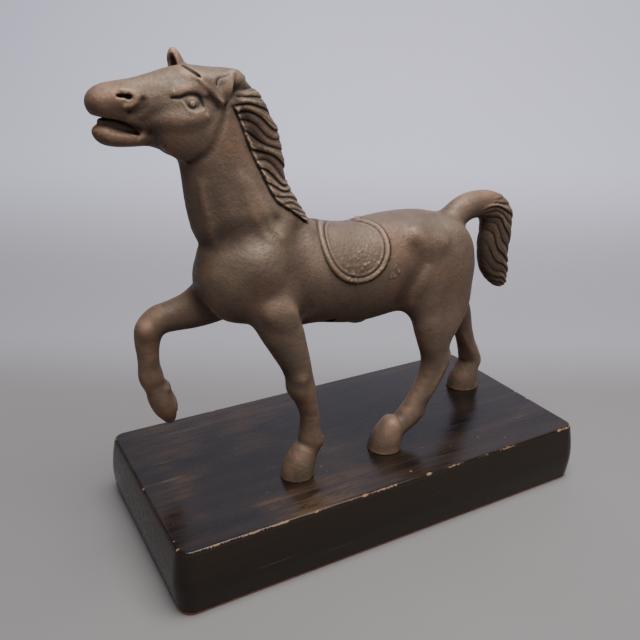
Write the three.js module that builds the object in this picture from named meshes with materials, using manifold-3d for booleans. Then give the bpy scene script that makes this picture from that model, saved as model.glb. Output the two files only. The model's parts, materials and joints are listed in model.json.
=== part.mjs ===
// A bronze horse at the walk, one foreleg raised, bolted to a dark wooden base board.
//
// Millimetres. +Z is up, +X is the way the horse faces and +Y is the horse's left.
// The origin is the middle of the underside, on the surface that the statue stands on.
//
// The horse is cast in seven sections. Every section but the body ends in a round tenon,
// which enters a socket of the body and is held by a cross pin (a Roman joint).

import * as THREE from 'three';
import { mergeVertices } from 'three/addons/utils/BufferGeometryUtils.js';
import Module from 'manifold-3d';

const wasm = await Module();
wasm.setup();

// ---- Driving dimensions ----

const FIT = 0.3;                    // gap kept between neighbouring pieces
const BASE_LENGTH = 300;            // top face of the board, along X
const BASE_WIDTH = 145.4;           // top face of the board, along Y
const BASE_HEIGHT = 42.4;           // from the table to the top of the board, felt included
const BASE_CORNER = 8;              // radius of the board's upright corners
const RIDGE_HEIGHT = 17.6;          // height of the widest line round the board's sides
const RIDGE_OUTSET = 3.3;           // how far that line stands outside the top face
const FOOT_OUTSET = 1.8;            // the same at the board's lower edge
const EASED_EDGE = 1.1;             // softening of the board's top edge
const FELT_THICKNESS = 1.6;
const FELT_INSET = 0.6;             // the felt stops short of the board's lower edge

const MID = 7;                      // Y of the horse's own middle plane on the board
const LEFT = 1;
const RIGHT = -1;

const STUD_RADIUS = 2.5;            // M5 threaded rod
const STUD_IN_HOOF = 8.5;
const NUT_RADIUS = 4.62;            // over the corners, 8 mm across the flats
const NUT_HEIGHT = 4;
const WASHER_RADIUS = 5;
const WASHER_HEIGHT = 1;
const COUNTERBORE_RADIUS = 8;
const COUNTERBORE_DEPTH = 14;

const WALL = 6;                     // wall of the hollow body casting
const PLUG_RADIUS = 4;              // threaded plug of the core hole in the belly
const PLUG_LENGTH = 7;

const LIMB_SIDES = 12;
const TRUNK_SIDES = 22;
const ROUND_SIDES = 16;             // for fasteners, tenons and plugs
const BAR_SIDES = 8;                // for the thin cross pins

// ---- Materials ----

const bronze = () => new THREE.MeshStandardMaterial({ color: 0x4a3628, roughness: 0.5, metalness: 0.75 });
const wood = () => new THREE.MeshStandardMaterial({ color: 0x1b1410, roughness: 0.3, metalness: 0 });
const felt = () => new THREE.MeshStandardMaterial({ color: 0x5a241a, roughness: 0.95, metalness: 0 });
const steel = () => new THREE.MeshStandardMaterial({ color: 0x8a8c90, roughness: 0.4, metalness: 0.9 });

// ---- Solids ----

// A closed three.js geometry as a solid that can be joined and cut.
function solid(geometry) {
  const bare = geometry.clone();
  bare.deleteAttribute('normal');
  bare.deleteAttribute('uv');
  const welded = mergeVertices(bare, 1e-4);
  return new wasm.Manifold(new wasm.Mesh({
    numProp: 3,
    vertProperties: new Float32Array(welded.attributes.position.array),
    triVerts: new Uint32Array(welded.index.array),
  }));
}

function join(...solids) {
  return solids.reduce((whole, next) => whole.add(next));
}

function meshOf(name, shape, material) {
  const source = shape.getMesh();
  const geometry = new THREE.BufferGeometry();
  const points = new Float32Array(source.numVert * 3);
  for (let i = 0; i < source.numVert; i += 1) {
    points.set(source.vertProperties.subarray(i * source.numProp, i * source.numProp + 3), i * 3);
  }
  geometry.setAttribute('position', new THREE.BufferAttribute(points, 3));
  geometry.setIndex(new THREE.BufferAttribute(new Uint32Array(source.triVerts), 1));
  geometry.computeVertexNormals();
  const mesh = new THREE.Mesh(geometry, material);
  mesh.name = name;
  return mesh;
}

// A limb is a row of stations [x, y, z, depth, width]: points on its middle line with the oval's
// half depth there, in the plane of the bend, and its half width, across. A unit cylinder is bent
// along the smooth line through the stations.
function limb(stations, stepsPerStation = 2, sides = LIMB_SIDES) {
  const line = new THREE.CatmullRomCurve3(stations.map(([x, y, z]) => new THREE.Vector3(x, y, z)));
  line.curveType = 'catmullrom';
  const ovals = new THREE.CatmullRomCurve3(stations.map((s) => new THREE.Vector3(s[3], s[4], 0)));
  ovals.curveType = 'catmullrom';
  const geometry = new THREE.CylinderGeometry(1, 1, 1, sides, (stations.length - 1) * stepsPerStation);
  const place = geometry.attributes.position;
  for (let i = 0; i < place.count; i += 1) {
    const along = 0.5 - place.getY(i);
    const middle = line.getPoint(along);
    const tangent = line.getTangent(along);
    const oval = ovals.getPoint(along);
    const across = new THREE.Vector3(0, 1, 0).addScaledVector(tangent, -tangent.y).normalize();
    const deep = across.clone().cross(tangent);
    middle.addScaledVector(deep, place.getX(i) * oval.x);
    middle.addScaledVector(across, place.getZ(i) * oval.y);
    place.setXYZ(i, middle.x, middle.y, middle.z);
  }
  return solid(geometry);
}

// A muscle is an egg: a sphere stretched to its three radii and pitched about Y, in degrees.
function muscle([x, y, z], [rx, ry, rz], pitch = 0) {
  const geometry = new THREE.SphereGeometry(1, 16, 8);
  geometry.rotateX(Math.PI / 2);
  geometry.scale(rx, ry, rz);
  geometry.rotateY(THREE.MathUtils.degToRad(pitch));
  geometry.translate(x, y, z);
  return solid(geometry);
}

// A round bar from one point to another.
function bar(from, to, radius, sides = ROUND_SIDES) {
  const start = new THREE.Vector3(...from);
  const end = new THREE.Vector3(...to);
  const geometry = new THREE.CylinderGeometry(radius, radius, start.distanceTo(end), sides);
  const turn = new THREE.Quaternion().setFromUnitVectors(
    new THREE.Vector3(0, 1, 0),
    end.clone().sub(start).normalize(),
  );
  geometry.applyQuaternion(turn);
  geometry.translate(...start.lerp(end, 0.5).toArray());
  return solid(geometry);
}

// Everything on the far side of a plane through a point, as a very large block.
function beyond(point, direction, offset = 0) {
  const REACH = 500;
  const geometry = new THREE.BoxGeometry(REACH, REACH, REACH);
  geometry.translate(0, 0, REACH / 2 + offset);
  geometry.applyQuaternion(new THREE.Quaternion().setFromUnitVectors(
    new THREE.Vector3(0, 0, 1),
    direction.clone().normalize(),
  ));
  geometry.translate(point.x, point.y, point.z);
  return solid(geometry);
}

// ---- Shape of the horse ----

const TRUNK = [
  [92, MID, 179, 22, 17],
  [76, MID, 175, 31, 25],
  [54, MID, 171, 34, 27],
  [30, MID, 168, 32, 27.5],
  [5, MID, 164.5, 33, 28.5],
  [-20, MID, 166.8, 33.7, 28.5],
  [-45, MID, 167.4, 32.4, 27],
  [-62, MID, 164.4, 28.4, 23],
  [-74, MID, 161, 19, 17],
];

const NECK = [
  [62, MID, 184, 30, 23],
  [76, MID, 202, 31, 20.5],
  [85, MID, 220, 27, 17],
  [91, MID, 238, 22.5, 15],
  [96, MID, 254, 20, 14],
  [99, MID, 268, 17, 13],
  [100, MID, 277, 12, 10],
];

const MANE = [
  [90, MID, 281, 5, 6],
  [77, MID, 269, 9, 7.5],
  [71, MID, 255, 10.5, 7.5],
  [66, MID, 239, 10.5, 7.5],
  [59, MID, 224, 9, 7.5],
  [52, MID, 212, 6.5, 6.5],
  [43, MID, 203, 3.5, 4],
];

const UPPER_HEAD = [
  [98, MID, 273, 11, 10],
  [106, MID, 273, 16, 12],
  [114, MID, 272, 17.2, 13],
  [124, MID, 272.3, 14.8, 12],
  [134, MID, 272.8, 12.2, 10.3],
  [144, MID, 273.8, 10, 9.3],
  [152, MID, 274.4, 8.8, 9.2],
  [158, MID, 274.4, 6.5, 7.5],
  [161, MID, 274.4, 3, 4],
];

const LOWER_JAW = [
  [113, MID, 259, 10, 9],
  [121, MID, 258.5, 9, 8.5],
  [130, MID, 258.2, 6.5, 7.2],
  [139, MID, 256.8, 4.6, 6.7],
  [147, MID, 257.4, 4.8, 6.9],
  [153, MID, 259.4, 4.8, 6.2],
  [158, MID, 261, 2.2, 3.5],
];

const FORELOCK = [
  [117, MID, 281, 4, 6],
  [110, MID, 284, 6, 10],
  [99, MID, 284, 6, 12.5],
  [88, MID, 281.5, 6, 11],
];

const RIGHT_EAR = [
  [108, -4, 282, 6, 5.5],
  [110.5, -4, 290, 4.8, 4.6],
  [111, -4, 296, 3.4, 3.6],
  [110, -4, 300, 1.4, 1.6],
];

const LEFT_EAR = [
  [100, 18, 272, 5, 4],
  [94, 19, 280, 5.6, 4.8],
  [87, 19.5, 286, 3.6, 3.4],
  [83, 19.5, 288.5, 1.6, 1.8],
];

const LEFT_FORELEG = [
  [70, 25, 162, 17, 11],
  [67, 28.5, 148, 14.5, 10.5],
  [62.5, 30, 135, 12, 9.8],
  [57.5, 30, 122, 9.8, 9],
  [54.5, 30, 111, 8.7, 8.5],
  [53, 30.5, 103, 8.7, 8.7],
  [50.5, 31, 94.5, 7, 7],
  [48.3, 31, 84, 5.9, 6],
  [48, 31, 75, 6.4, 6.2],
  [47.5, 31, 67, 7.8, 7.3],
  [48.5, 31, 60.5, 7.6, 7.4],
  [53, 31.5, 54, 7.4, 7.6],
];

const RIGHT_FORELEG = [
  [82, -6, 168, 16, 12],
  [96, -10, 157, 14, 11.5],
  [107, -12, 151, 11.4, 10],
  [118, -13.5, 148.5, 9.8, 9],
  [127, -14, 146.5, 9.2, 8.6],
  [133, -14, 141, 8.8, 8.4],
  [134.8, -14, 133.5, 7.2, 7.2],
  [135, -14, 126, 6.1, 6.4],
  [135, -14, 118, 5.8, 6.1],
  [134.8, -14, 110.5, 6.6, 6.5],
  [132.8, -14, 104, 6.8, 6.6],
  [130, -14, 97, 5.8, 6.3],
];

const LEFT_HINDLEG = [
  [-62, 20, 162, 21, 14],
  [-56, 25, 144, 24, 12.5],
  [-50.4, 28.5, 128, 19.6, 11],
  [-48.6, 30, 117, 13.9, 9.5],
  [-49.5, 30, 107, 10.8, 8.5],
  [-50.5, 30, 98, 10.8, 8.2],
  [-47, 30, 88, 9.4, 7.8],
  [-41, 30, 78, 8.3, 7.4],
  [-35, 30.5, 69.5, 8, 7.2],
  [-31, 31, 63.5, 8.8, 8],
  [-23, 31, 57.5, 7.4, 7.8],
  [-15, 31, 52.5, 7.4, 8],
];

const RIGHT_HINDLEG = [
  [-68, -6, 158, 22, 14],
  [-82, -10, 138, 18, 12],
  [-96, -13, 123, 12.5, 9.5],
  [-105, -15, 112.5, 10.5, 8.2],
  [-110, -16, 102.5, 9, 7.4],
  [-114, -16.5, 92, 7.7, 6.8],
  [-118.5, -17, 80, 7.6, 6.8],
  [-122.5, -17.5, 70, 8.8, 7.6],
  [-124.5, -18, 63, 9.2, 8.2],
  [-123, -18, 54, 8, 8],
];

const TAIL = [
  [-64, MID, 181, 10, 10],
  [-75, MID, 192, 9.5, 9],
  [-85, MID, 197, 9.4, 8.6],
  [-95, MID, 199, 9.4, 8.4],
  [-105, MID, 196.5, 10.3, 8.6],
  [-112, MID, 190, 12.6, 8.8],
  [-115, MID, 180, 13.6, 9],
  [-114.5, MID, 168, 14, 9],
  [-115.5, MID, 156, 12.6, 8.6],
  [-119, MID, 146, 10.4, 7.6],
  [-122.5, MID, 138, 6, 5.5],
  [-124, MID, 134, 2, 2],
];

// Hooves on the board: the middle of the sole and its radius.
const HOOVES = {
  left_forehoof: { x: 57.5, y: 32, radius: 10.6 },
  left_hindhoof: { x: -11, y: 31, radius: 11.6 },
  right_hindhoof: { x: -121, y: -18, radius: 12 },
};
const HOOF_HEIGHT = 12;
const HOOF_LEAN = 3.2;              // how far the top of a hoof sits behind its sole
const HOOF_TAPER = 0.8;             // top of a hoof against its sole

// A planted hoof: a blunt cone leaning back from the toe, flat on the board.
function hoof({ x, y, radius }) {
  const sole = BASE_HEIGHT + FIT;
  const geometry = new THREE.CylinderGeometry(radius * HOOF_TAPER, radius, HOOF_HEIGHT, ROUND_SIDES);
  geometry.rotateX(Math.PI / 2);
  const place = geometry.attributes.position;
  for (let i = 0; i < place.count; i += 1) {
    const rise = place.getZ(i) / HOOF_HEIGHT + 0.5;
    place.setX(i, place.getX(i) - HOOF_LEAN * rise);
  }
  geometry.translate(x, y, sole + HOOF_HEIGHT / 2);
  return solid(geometry);
}

// The raised hoof hangs from the bent fetlock with its sole turned back: an outline across the
// width of the hoof, toe down, with the heel bulbs behind.
const RAISED_WIDTH = 17;
const RAISED_MIDDLE = -14;          // Y of the raised hoof
const RAISED_ROUNDING = 4;          // how far in from each side its edges are rounded
const RAISED_DRAWN_IN = 2.4;        // how much smaller its outline is at the sides

function raisedHoof() {
  const outline = new THREE.Shape();
  outline.moveTo(136.5, 98);
  outline.quadraticCurveTo(136, 88, 126.5, 78.5);
  outline.quadraticCurveTo(121.5, 84, 120.2, 93);
  outline.quadraticCurveTo(120, 102, 127, 103.5);
  outline.lineTo(136.5, 98);
  const geometry = new THREE.ExtrudeGeometry(outline, {
    depth: RAISED_WIDTH - 2 * RAISED_ROUNDING,
    bevelEnabled: true,
    bevelThickness: RAISED_ROUNDING,
    bevelSize: RAISED_DRAWN_IN,
    bevelOffset: -RAISED_DRAWN_IN,
    bevelSegments: 3,
    curveSegments: 5,
  });
  geometry.translate(0, 0, RAISED_ROUNDING - RAISED_WIDTH / 2);
  geometry.rotateX(Math.PI / 2);
  geometry.translate(0, RAISED_MIDDLE, 0);
  return solid(geometry);
}

// The saddle cloth is cast in one with the body: a rim standing a little proud of both flanks,
// round at the bottom and running over the back.
const SADDLE_RELIEF = 1.3;
const SADDLE_BACK = -9;
const SADDLE_FRONT = 37;
const SADDLE_LOW = 166;
const SADDLE_TOP = 215;
const SADDLE_FLARE = 4;             // how much narrower the cloth is over the spine, at each end
const SADDLE_ACROSS = 90;

function saddleCloth() {
  const middle = (SADDLE_BACK + SADDLE_FRONT) / 2;
  const radius = (SADDLE_FRONT - SADDLE_BACK) / 2;
  const outline = new THREE.Shape();
  outline.moveTo(SADDLE_BACK + SADDLE_FLARE, SADDLE_TOP);
  outline.lineTo(SADDLE_BACK, SADDLE_LOW + radius);
  outline.absarc(middle, SADDLE_LOW + radius, radius, Math.PI, 2 * Math.PI, false);
  outline.lineTo(SADDLE_FRONT - SADDLE_FLARE, SADDLE_TOP);
  outline.closePath();
  const geometry = new THREE.ExtrudeGeometry(outline, {
    depth: SADDLE_ACROSS,
    bevelEnabled: false,
    curveSegments: 10,
  });
  geometry.rotateX(Math.PI / 2);
  geometry.translate(0, MID + SADDLE_ACROSS / 2, 0);
  const swollen = TRUNK.map(([x, y, z, deep, wide]) => (
    [x, y, z, deep + SADDLE_RELIEF, wide + SADDLE_RELIEF]
  ));
  return limb(swollen, 2, TRUNK_SIDES).intersect(solid(geometry));
}

function trunk() {
  const sides = [LEFT, RIGHT].flatMap((side) => [
    muscle([74, MID + side * 15, 174], [19, 13, 29], 18),
    muscle([90, MID + side * 8, 174], [17, 14, 20]),
    muscle([-58, MID + side * 13, 161], [23, 17, 32], -14),
  ]);
  return join(
    limb(TRUNK, 2, TRUNK_SIDES),
    ...sides,
    muscle([-64, MID, 173], [22, 15, 21]),
    muscle([-40, 24, 150], [17, 11.5, 22], 20),
    muscle([-48, -9, 150], [17, 11.5, 22]),
  );
}

// ---- Joints between the castings ----

// Each joint: a point on the parting plane, the next point along the section, and the sizes of
// the tenon that reaches back into the body and of the pin that crosses it.
function joint(at, towards, tenonRadius, tenonLength, pinRadius, pinLength) {
  const point = new THREE.Vector3(...at);
  const direction = new THREE.Vector3(...towards).sub(point).normalize();
  return { point, direction, tenonRadius, tenonLength, pinRadius, pinLength };
}

const JOINTS = {
  neck: joint([74, MID, 199], [84, MID, 218], 11, 12, 2, 36),
  tail: joint([-83.5, MID, 196.3], [-92, MID, 198.5], 4.5, 8, 1.25, 12),
  left_foreleg: joint([60.5, 30, 130], [57, 30, 120], 5, 10, 1.25, 15),
  right_foreleg: joint([113.5, -13, 149.5], [124, -13.8, 147.2], 5, 10, 1.25, 15),
  left_hindleg: joint([-51, 29.6, 119.5], [-49.5, 30, 110], 5.5, 10, 1.25, 14),
  right_hindleg: joint([-99, -13.7, 119.5], [-107, -15.4, 109], 5, 10, 1.25, 13),
};

function tenonOf({ point, direction, tenonRadius, tenonLength }, loose = 0) {
  const root = point.clone().addScaledVector(direction, 2);
  const tip = point.clone().addScaledVector(direction, -(tenonLength + loose));
  return bar(root.toArray(), tip.toArray(), tenonRadius + loose);
}

function pinOf({ point, direction, tenonLength, pinRadius, pinLength }, loose = 0, reach = 0) {
  const middle = point.clone().addScaledVector(direction, -tenonLength / 2);
  const across = new THREE.Vector3(0, 1, 0).addScaledVector(direction, -direction.y).normalize();
  const half = pinLength / 2 + reach;
  const start = middle.clone().addScaledVector(across, -half);
  const end = middle.clone().addScaledVector(across, half);
  return bar(start.toArray(), end.toArray(), pinRadius + loose, BAR_SIDES);
}

// The casting beyond a joint, with its tenon and the pin's hole through it.
function sectionCasting(form, at) {
  return form
    .intersect(beyond(at.point, at.direction, FIT))
    .add(tenonOf(at))
    .subtract(pinOf(at, FIT));
}

// What stays on the body on this side of a joint.
function stump(form, at) {
  return form.subtract(beyond(at.point, at.direction));
}

// ---- The castings ----

const group = new THREE.Group();
const add = (name, shape, material) => group.add(meshOf(name, shape, material));

const trunkForm = trunk();
const neckForm = limb(NECK, 1, TRUNK_SIDES);
const tailForm = limb(TAIL);
const legForms = {
  left_foreleg: join(limb(LEFT_FORELEG), hoof(HOOVES.left_forehoof)),
  right_foreleg: join(limb(RIGHT_FORELEG), raisedHoof()),
  left_hindleg: join(limb(LEFT_HINDLEG), hoof(HOOVES.left_hindhoof)),
  right_hindleg: join(limb(RIGHT_HINDLEG), hoof(HOOVES.right_hindhoof)),
};

const headForm = join(
  neckForm,
  trunkForm,
  limb(MANE, 1),
  limb(UPPER_HEAD),
  limb(LOWER_JAW),
  limb(FORELOCK),
  limb(RIGHT_EAR, 1, 10),
  limb(LEFT_EAR, 1, 10),
  ...[LEFT, RIGHT].map((side) => muscle([111.5, MID + side * 7.5, 261], [17, 8.2, 17])),
);

// The stud holes in the three planted hooves.
function studHole({ x, y }) {
  const sole = BASE_HEIGHT + FIT;
  return bar([x, y, sole - 2], [x, y, sole + STUD_IN_HOOF + FIT], STUD_RADIUS + FIT);
}

const castingOf = {
  neck: sectionCasting(headForm, JOINTS.neck),
  tail: sectionCasting(tailForm, JOINTS.tail),
  left_foreleg: sectionCasting(legForms.left_foreleg, JOINTS.left_foreleg)
    .subtract(studHole(HOOVES.left_forehoof)),
  right_foreleg: sectionCasting(legForms.right_foreleg, JOINTS.right_foreleg),
  left_hindleg: sectionCasting(legForms.left_hindleg, JOINTS.left_hindleg)
    .subtract(studHole(HOOVES.left_hindhoof)),
  right_hindleg: sectionCasting(legForms.right_hindleg, JOINTS.right_hindleg)
    .subtract(studHole(HOOVES.right_hindhoof)),
};

// The core leaves the body hollow. Its hole in the belly is closed by a threaded plug.
const CORE_LENGTH = 0.93;           // of the trunk's length, so that its ends have walls too
const CORE = TRUNK.slice(1, -1).map(([x, y, z, deep, wide]) => (
  [x * CORE_LENGTH, y, z, deep - WALL, wide - WALL]
));
const PLUG_X = 0;
const PLUG_BOTTOM = 130.6;
const PLUG_HOLE_TOP = 150;          // well inside the hollow
const PIN_HOLE_OVERRUN = 10;        // pins are driven from outside, so their holes run out of the casting

function bodyCasting() {
  const stumps = [
    stump(neckForm, JOINTS.neck),
    stump(tailForm, JOINTS.tail),
    ...Object.keys(legForms).map((name) => stump(legForms[name], JOINTS[name])),
  ];
  let body = join(trunkForm, saddleCloth(), ...stumps)
    .subtract(beyond(JOINTS.neck.point, JOINTS.neck.direction))
    .subtract(limb(CORE, 1, LIMB_SIDES))
    .subtract(bar([PLUG_X, MID, PLUG_BOTTOM - 5], [PLUG_X, MID, PLUG_HOLE_TOP], PLUG_RADIUS + FIT));
  for (const at of Object.values(JOINTS)) {
    body = body.subtract(tenonOf(at, FIT)).subtract(pinOf(at, FIT, PIN_HOLE_OVERRUN));
  }
  return body;
}

add('body_casting', bodyCasting(), bronze());
add('head_and_neck_casting', castingOf.neck, bronze());
add('tail_casting', castingOf.tail, bronze());
for (const name of Object.keys(legForms)) {
  add(`${name}_casting`, castingOf[name], bronze());
}
for (const [name, at] of Object.entries(JOINTS)) {
  add(`${name}_joint_pin`, pinOf(at), bronze());
}

const plugFoot = [PLUG_X, MID, PLUG_BOTTOM];
const plugTop = [PLUG_X, MID, PLUG_BOTTOM + PLUG_LENGTH];
add('belly_core_plug', bar(plugFoot, plugTop, PLUG_RADIUS), bronze());

// ---- The base board ----

// A point of the board's outline at an angle round it, for an outline grown by some outset.
// The outline is a rectangle with round corners, sampled evenly round each corner.
function boardOutline(outset, pointsPerCorner) {
  const radius = BASE_CORNER + outset;
  const points = [];
  const corners = [[1, 1], [-1, 1], [-1, -1], [1, -1]];
  corners.forEach(([sideX, sideY], corner) => {
    for (let i = 0; i < pointsPerCorner; i += 1) {
      const angle = (corner + i / (pointsPerCorner - 1)) * Math.PI / 2;
      points.push([
        sideX * (BASE_LENGTH / 2 - BASE_CORNER) + radius * Math.cos(angle),
        sideY * (BASE_WIDTH / 2 - BASE_CORNER) + radius * Math.sin(angle),
      ]);
    }
  });
  return points;
}

// A slab lofted through levels [z, outset], its sides standing on the rounded outline.
function slab(levels) {
  const POINTS_PER_CORNER = 6;
  const sides = 4 * POINTS_PER_CORNER;
  const geometry = new THREE.CylinderGeometry(1, 1, 1, sides, levels.length - 1);
  const place = geometry.attributes.position;
  for (let i = 0; i < place.count; i += 1) {
    const level = Math.round((place.getY(i) + 0.5) * (levels.length - 1));
    const [z, outset] = levels[level];
    if (Math.hypot(place.getX(i), place.getZ(i)) < 0.5) {
      place.setXYZ(i, 0, 0, z);
      continue;
    }
    const turn = Math.atan2(place.getX(i), place.getZ(i)) / (2 * Math.PI);
    const index = Math.round((turn + 1) * sides) % sides;
    const [x, y] = boardOutline(outset, POINTS_PER_CORNER)[index];
    place.setXYZ(i, x, y, z);
  }
  return solid(geometry);
}

const BOARD_FOOT = FELT_THICKNESS + FIT;
const SEAT = BOARD_FOOT + COUNTERBORE_DEPTH;      // the face that the washers bear on
const STUD_HOLE_RADIUS = STUD_RADIUS + 0.4;       // an easy fit through the board

function baseBoard() {
  let board = slab([
    [BOARD_FOOT, FOOT_OUTSET],
    [RIDGE_HEIGHT - 5, RIDGE_OUTSET - 0.3],
    [RIDGE_HEIGHT, RIDGE_OUTSET],
    [RIDGE_HEIGHT + 6, RIDGE_OUTSET - 0.5],
    [BASE_HEIGHT - EASED_EDGE, 0.2],
    [BASE_HEIGHT, -EASED_EDGE],
  ]);
  for (const { x, y } of Object.values(HOOVES)) {
    board = board
      .subtract(bar([x, y, 0], [x, y, BASE_HEIGHT + 5], STUD_HOLE_RADIUS))
      .subtract(bar([x, y, 0], [x, y, SEAT], COUNTERBORE_RADIUS));
  }
  return board;
}

add('base_board', baseBoard(), wood());

const feltOutset = FOOT_OUTSET - FELT_INSET;
add('felt_sheet', slab([[0, feltOutset], [FELT_THICKNESS, feltOutset]]), felt());

// ---- Fasteners from the board into the hooves ----

for (const [name, { x, y }] of Object.entries(HOOVES)) {
  const washerTop = SEAT - FIT;
  const nutTop = washerTop - WASHER_HEIGHT - FIT;
  const nutFoot = nutTop - NUT_HEIGHT;
  const hole = bar([x, y, 0], [x, y, BASE_HEIGHT], STUD_RADIUS + FIT);
  const studTop = BASE_HEIGHT + FIT + STUD_IN_HOOF;
  add(`${name}_stud`, bar([x, y, nutFoot - 2], [x, y, studTop], STUD_RADIUS), steel());
  add(`${name}_washer`, bar([x, y, washerTop - WASHER_HEIGHT], [x, y, washerTop], WASHER_RADIUS)
    .subtract(hole), steel());
  add(`${name}_nut`, bar([x, y, nutFoot], [x, y, nutTop], NUT_RADIUS, 6).subtract(hole), steel());
}

export default group;
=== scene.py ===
"""A dark bronze horse on a lacquered wooden base board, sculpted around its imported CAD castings.

The horse is modelled like clay: ovals swept along the bones give the mass, a little smoothing
joins them, and muscles, hair, face, saddle cloth and hooves are then added and cut. The clay is a
signed distance on a grid, in the CAD frame's own millimetres: negative inside, positive outside.
"""

import json
import math

import bmesh
import bpy
import numpy as np
from mathutils import Matrix, Vector

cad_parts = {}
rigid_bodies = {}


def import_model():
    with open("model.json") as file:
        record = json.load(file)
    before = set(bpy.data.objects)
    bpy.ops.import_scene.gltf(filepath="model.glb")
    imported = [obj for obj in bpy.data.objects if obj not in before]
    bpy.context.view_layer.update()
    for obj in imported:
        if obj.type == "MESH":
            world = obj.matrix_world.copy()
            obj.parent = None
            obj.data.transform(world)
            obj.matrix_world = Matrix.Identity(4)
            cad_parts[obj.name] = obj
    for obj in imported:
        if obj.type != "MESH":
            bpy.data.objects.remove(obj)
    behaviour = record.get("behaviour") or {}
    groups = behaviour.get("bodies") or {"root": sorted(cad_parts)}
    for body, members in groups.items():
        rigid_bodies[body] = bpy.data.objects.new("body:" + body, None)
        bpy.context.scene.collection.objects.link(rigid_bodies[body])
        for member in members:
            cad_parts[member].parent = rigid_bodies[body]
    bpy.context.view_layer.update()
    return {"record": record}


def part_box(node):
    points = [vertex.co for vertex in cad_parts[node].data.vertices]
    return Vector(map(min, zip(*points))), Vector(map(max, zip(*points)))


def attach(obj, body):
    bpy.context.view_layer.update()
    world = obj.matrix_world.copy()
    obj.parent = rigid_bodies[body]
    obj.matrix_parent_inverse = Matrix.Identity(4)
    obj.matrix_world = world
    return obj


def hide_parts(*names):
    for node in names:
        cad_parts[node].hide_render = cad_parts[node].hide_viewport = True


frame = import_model()

MM = 0.001

# ---- Camera ----

CAMERA_PLACE = (0.23946, 0.38661, 0.31020)
CAMERA_AZIMUTH = math.radians(150.81)
CAMERA_ELEVATION = math.radians(21.94)
CAMERA_ROLL = math.radians(0.54)
CAMERA_LENS = 40.84


AWAY = (-math.sin(CAMERA_AZIMUTH), math.cos(CAMERA_AZIMUTH))


def make_camera():
    back = Vector((
        math.sin(CAMERA_AZIMUTH) * math.cos(CAMERA_ELEVATION),
        -math.cos(CAMERA_AZIMUTH) * math.cos(CAMERA_ELEVATION),
        math.sin(CAMERA_ELEVATION),
    ))
    right = Vector((0, 0, 1)).cross(back).normalized()
    up = back.cross(right)
    turned_right = right * math.cos(CAMERA_ROLL) + up * math.sin(CAMERA_ROLL)
    turned_up = up * math.cos(CAMERA_ROLL) - right * math.sin(CAMERA_ROLL)
    pose = Matrix((turned_right, turned_up, back)).transposed().to_4x4()
    pose.translation = CAMERA_PLACE
    data = bpy.data.cameras.new("camera")
    data.lens = CAMERA_LENS
    data.sensor_width = 36
    data.clip_start = 0.01
    camera = bpy.data.objects.new("camera", data)
    camera.matrix_world = pose
    bpy.context.scene.collection.objects.link(camera)
    bpy.context.scene.camera = camera


make_camera()

# ---- Clay ----

FAR = 30.0
SETTLE_REACH = 1.2
SETTLE_PASSES = 8


def soft_min(a, b, blend):
    """The smaller of two distances, rounded where they meet over about `blend` millimetres."""
    near = np.maximum(blend - np.abs(a - b), 0) / blend
    return np.minimum(a, b) - near * near * (blend / 4)


class Clay:
    def __init__(self, low, high, step):
        self.low = np.array(low, float)
        self.step = step
        count = np.ceil((np.array(high) - self.low) / step).astype(int) + 1
        self.d = np.full(count, FAR, np.float32)

    def window(self, low, high):
        """The part of the grid between two corners, and its X, Y and Z as a broadcasting trio."""
        size = np.array(self.d.shape)
        first = np.clip(np.floor((np.array(low) - self.low) / self.step).astype(int), 0, size)
        last = np.clip(np.ceil((np.array(high) - self.low) / self.step).astype(int) + 1, 0, size)
        part = tuple(slice(i, j) for i, j in zip(first, last))
        axes = [
            (self.low[k] + self.step * np.arange(first[k], last[k])).astype(np.float32)
            for k in range(3)
        ]
        return part, (axes[0][:, None, None], axes[1][None, :, None], axes[2][None, None, :])

    def whole(self):
        return self.window(self.low, self.low + self.step * np.array(self.d.shape))[1]

    def add(self, form, blend=1.0):
        part, place = self.window(*form.reach(blend + 2 * self.step))
        if self.d[part].size:
            self.d[part] = soft_min(self.d[part], form.distance(place), blend)

    def cut(self, form, blend=1.0):
        part, place = self.window(*form.reach(blend + 2 * self.step))
        if self.d[part].size:
            self.d[part] = -soft_min(-self.d[part], form.distance(place), blend)

    def smooth(self, passes):
        for _ in range(passes):
            for axis in range(3):
                d = np.moveaxis(self.d, axis, 0)
                d[1:-1] = (d[:-2] + 2 * d[1:-1] + d[2:]) / 4

    def refined(self):
        """The same clay on a grid of half the step."""
        d = self.d
        for axis in range(3):
            d = np.moveaxis(d, axis, 0)
            fine = np.empty((2 * d.shape[0] - 1,) + d.shape[1:], np.float32)
            fine[::2] = d
            fine[1::2] = (d[1:] + d[:-1]) / 2
            d = np.moveaxis(fine, 0, axis)
        finer = Clay(self.low, self.low, self.step / 2)
        finer.d = np.ascontiguousarray(d)
        return finer

    def at(self, points):
        """The distance at each of a row of points."""
        place = np.clip((points - self.low) / self.step, 0, np.array(self.d.shape) - 1.001)
        cell = place.astype(int)
        part = place - cell
        total = 0
        for corner in np.ndindex(2, 2, 2):
            weight = np.prod(np.where(corner, part, 1 - part), axis=1)
            total = total + weight * self.d[tuple((cell + corner).T)]
        return total

    def outward(self, points, reach=None):
        """The direction straight out of the clay at each point."""
        reach = reach or self.step
        slope = np.stack([
            self.at(points + reach * axis) - self.at(points - reach * axis) for axis in np.eye(3)
        ], axis=1)
        return slope / np.maximum(np.linalg.norm(slope, axis=1, keepdims=True), 1e-9)

    def settle(self, points):
        """Each point moved to the nearest surface, and the outward direction there."""
        points = np.array(points, float)
        for _ in range(SETTLE_PASSES):
            points -= self.outward(points, SETTLE_REACH) * self.at(points)[:, None]
        return points, self.outward(points, SETTLE_REACH)


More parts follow.
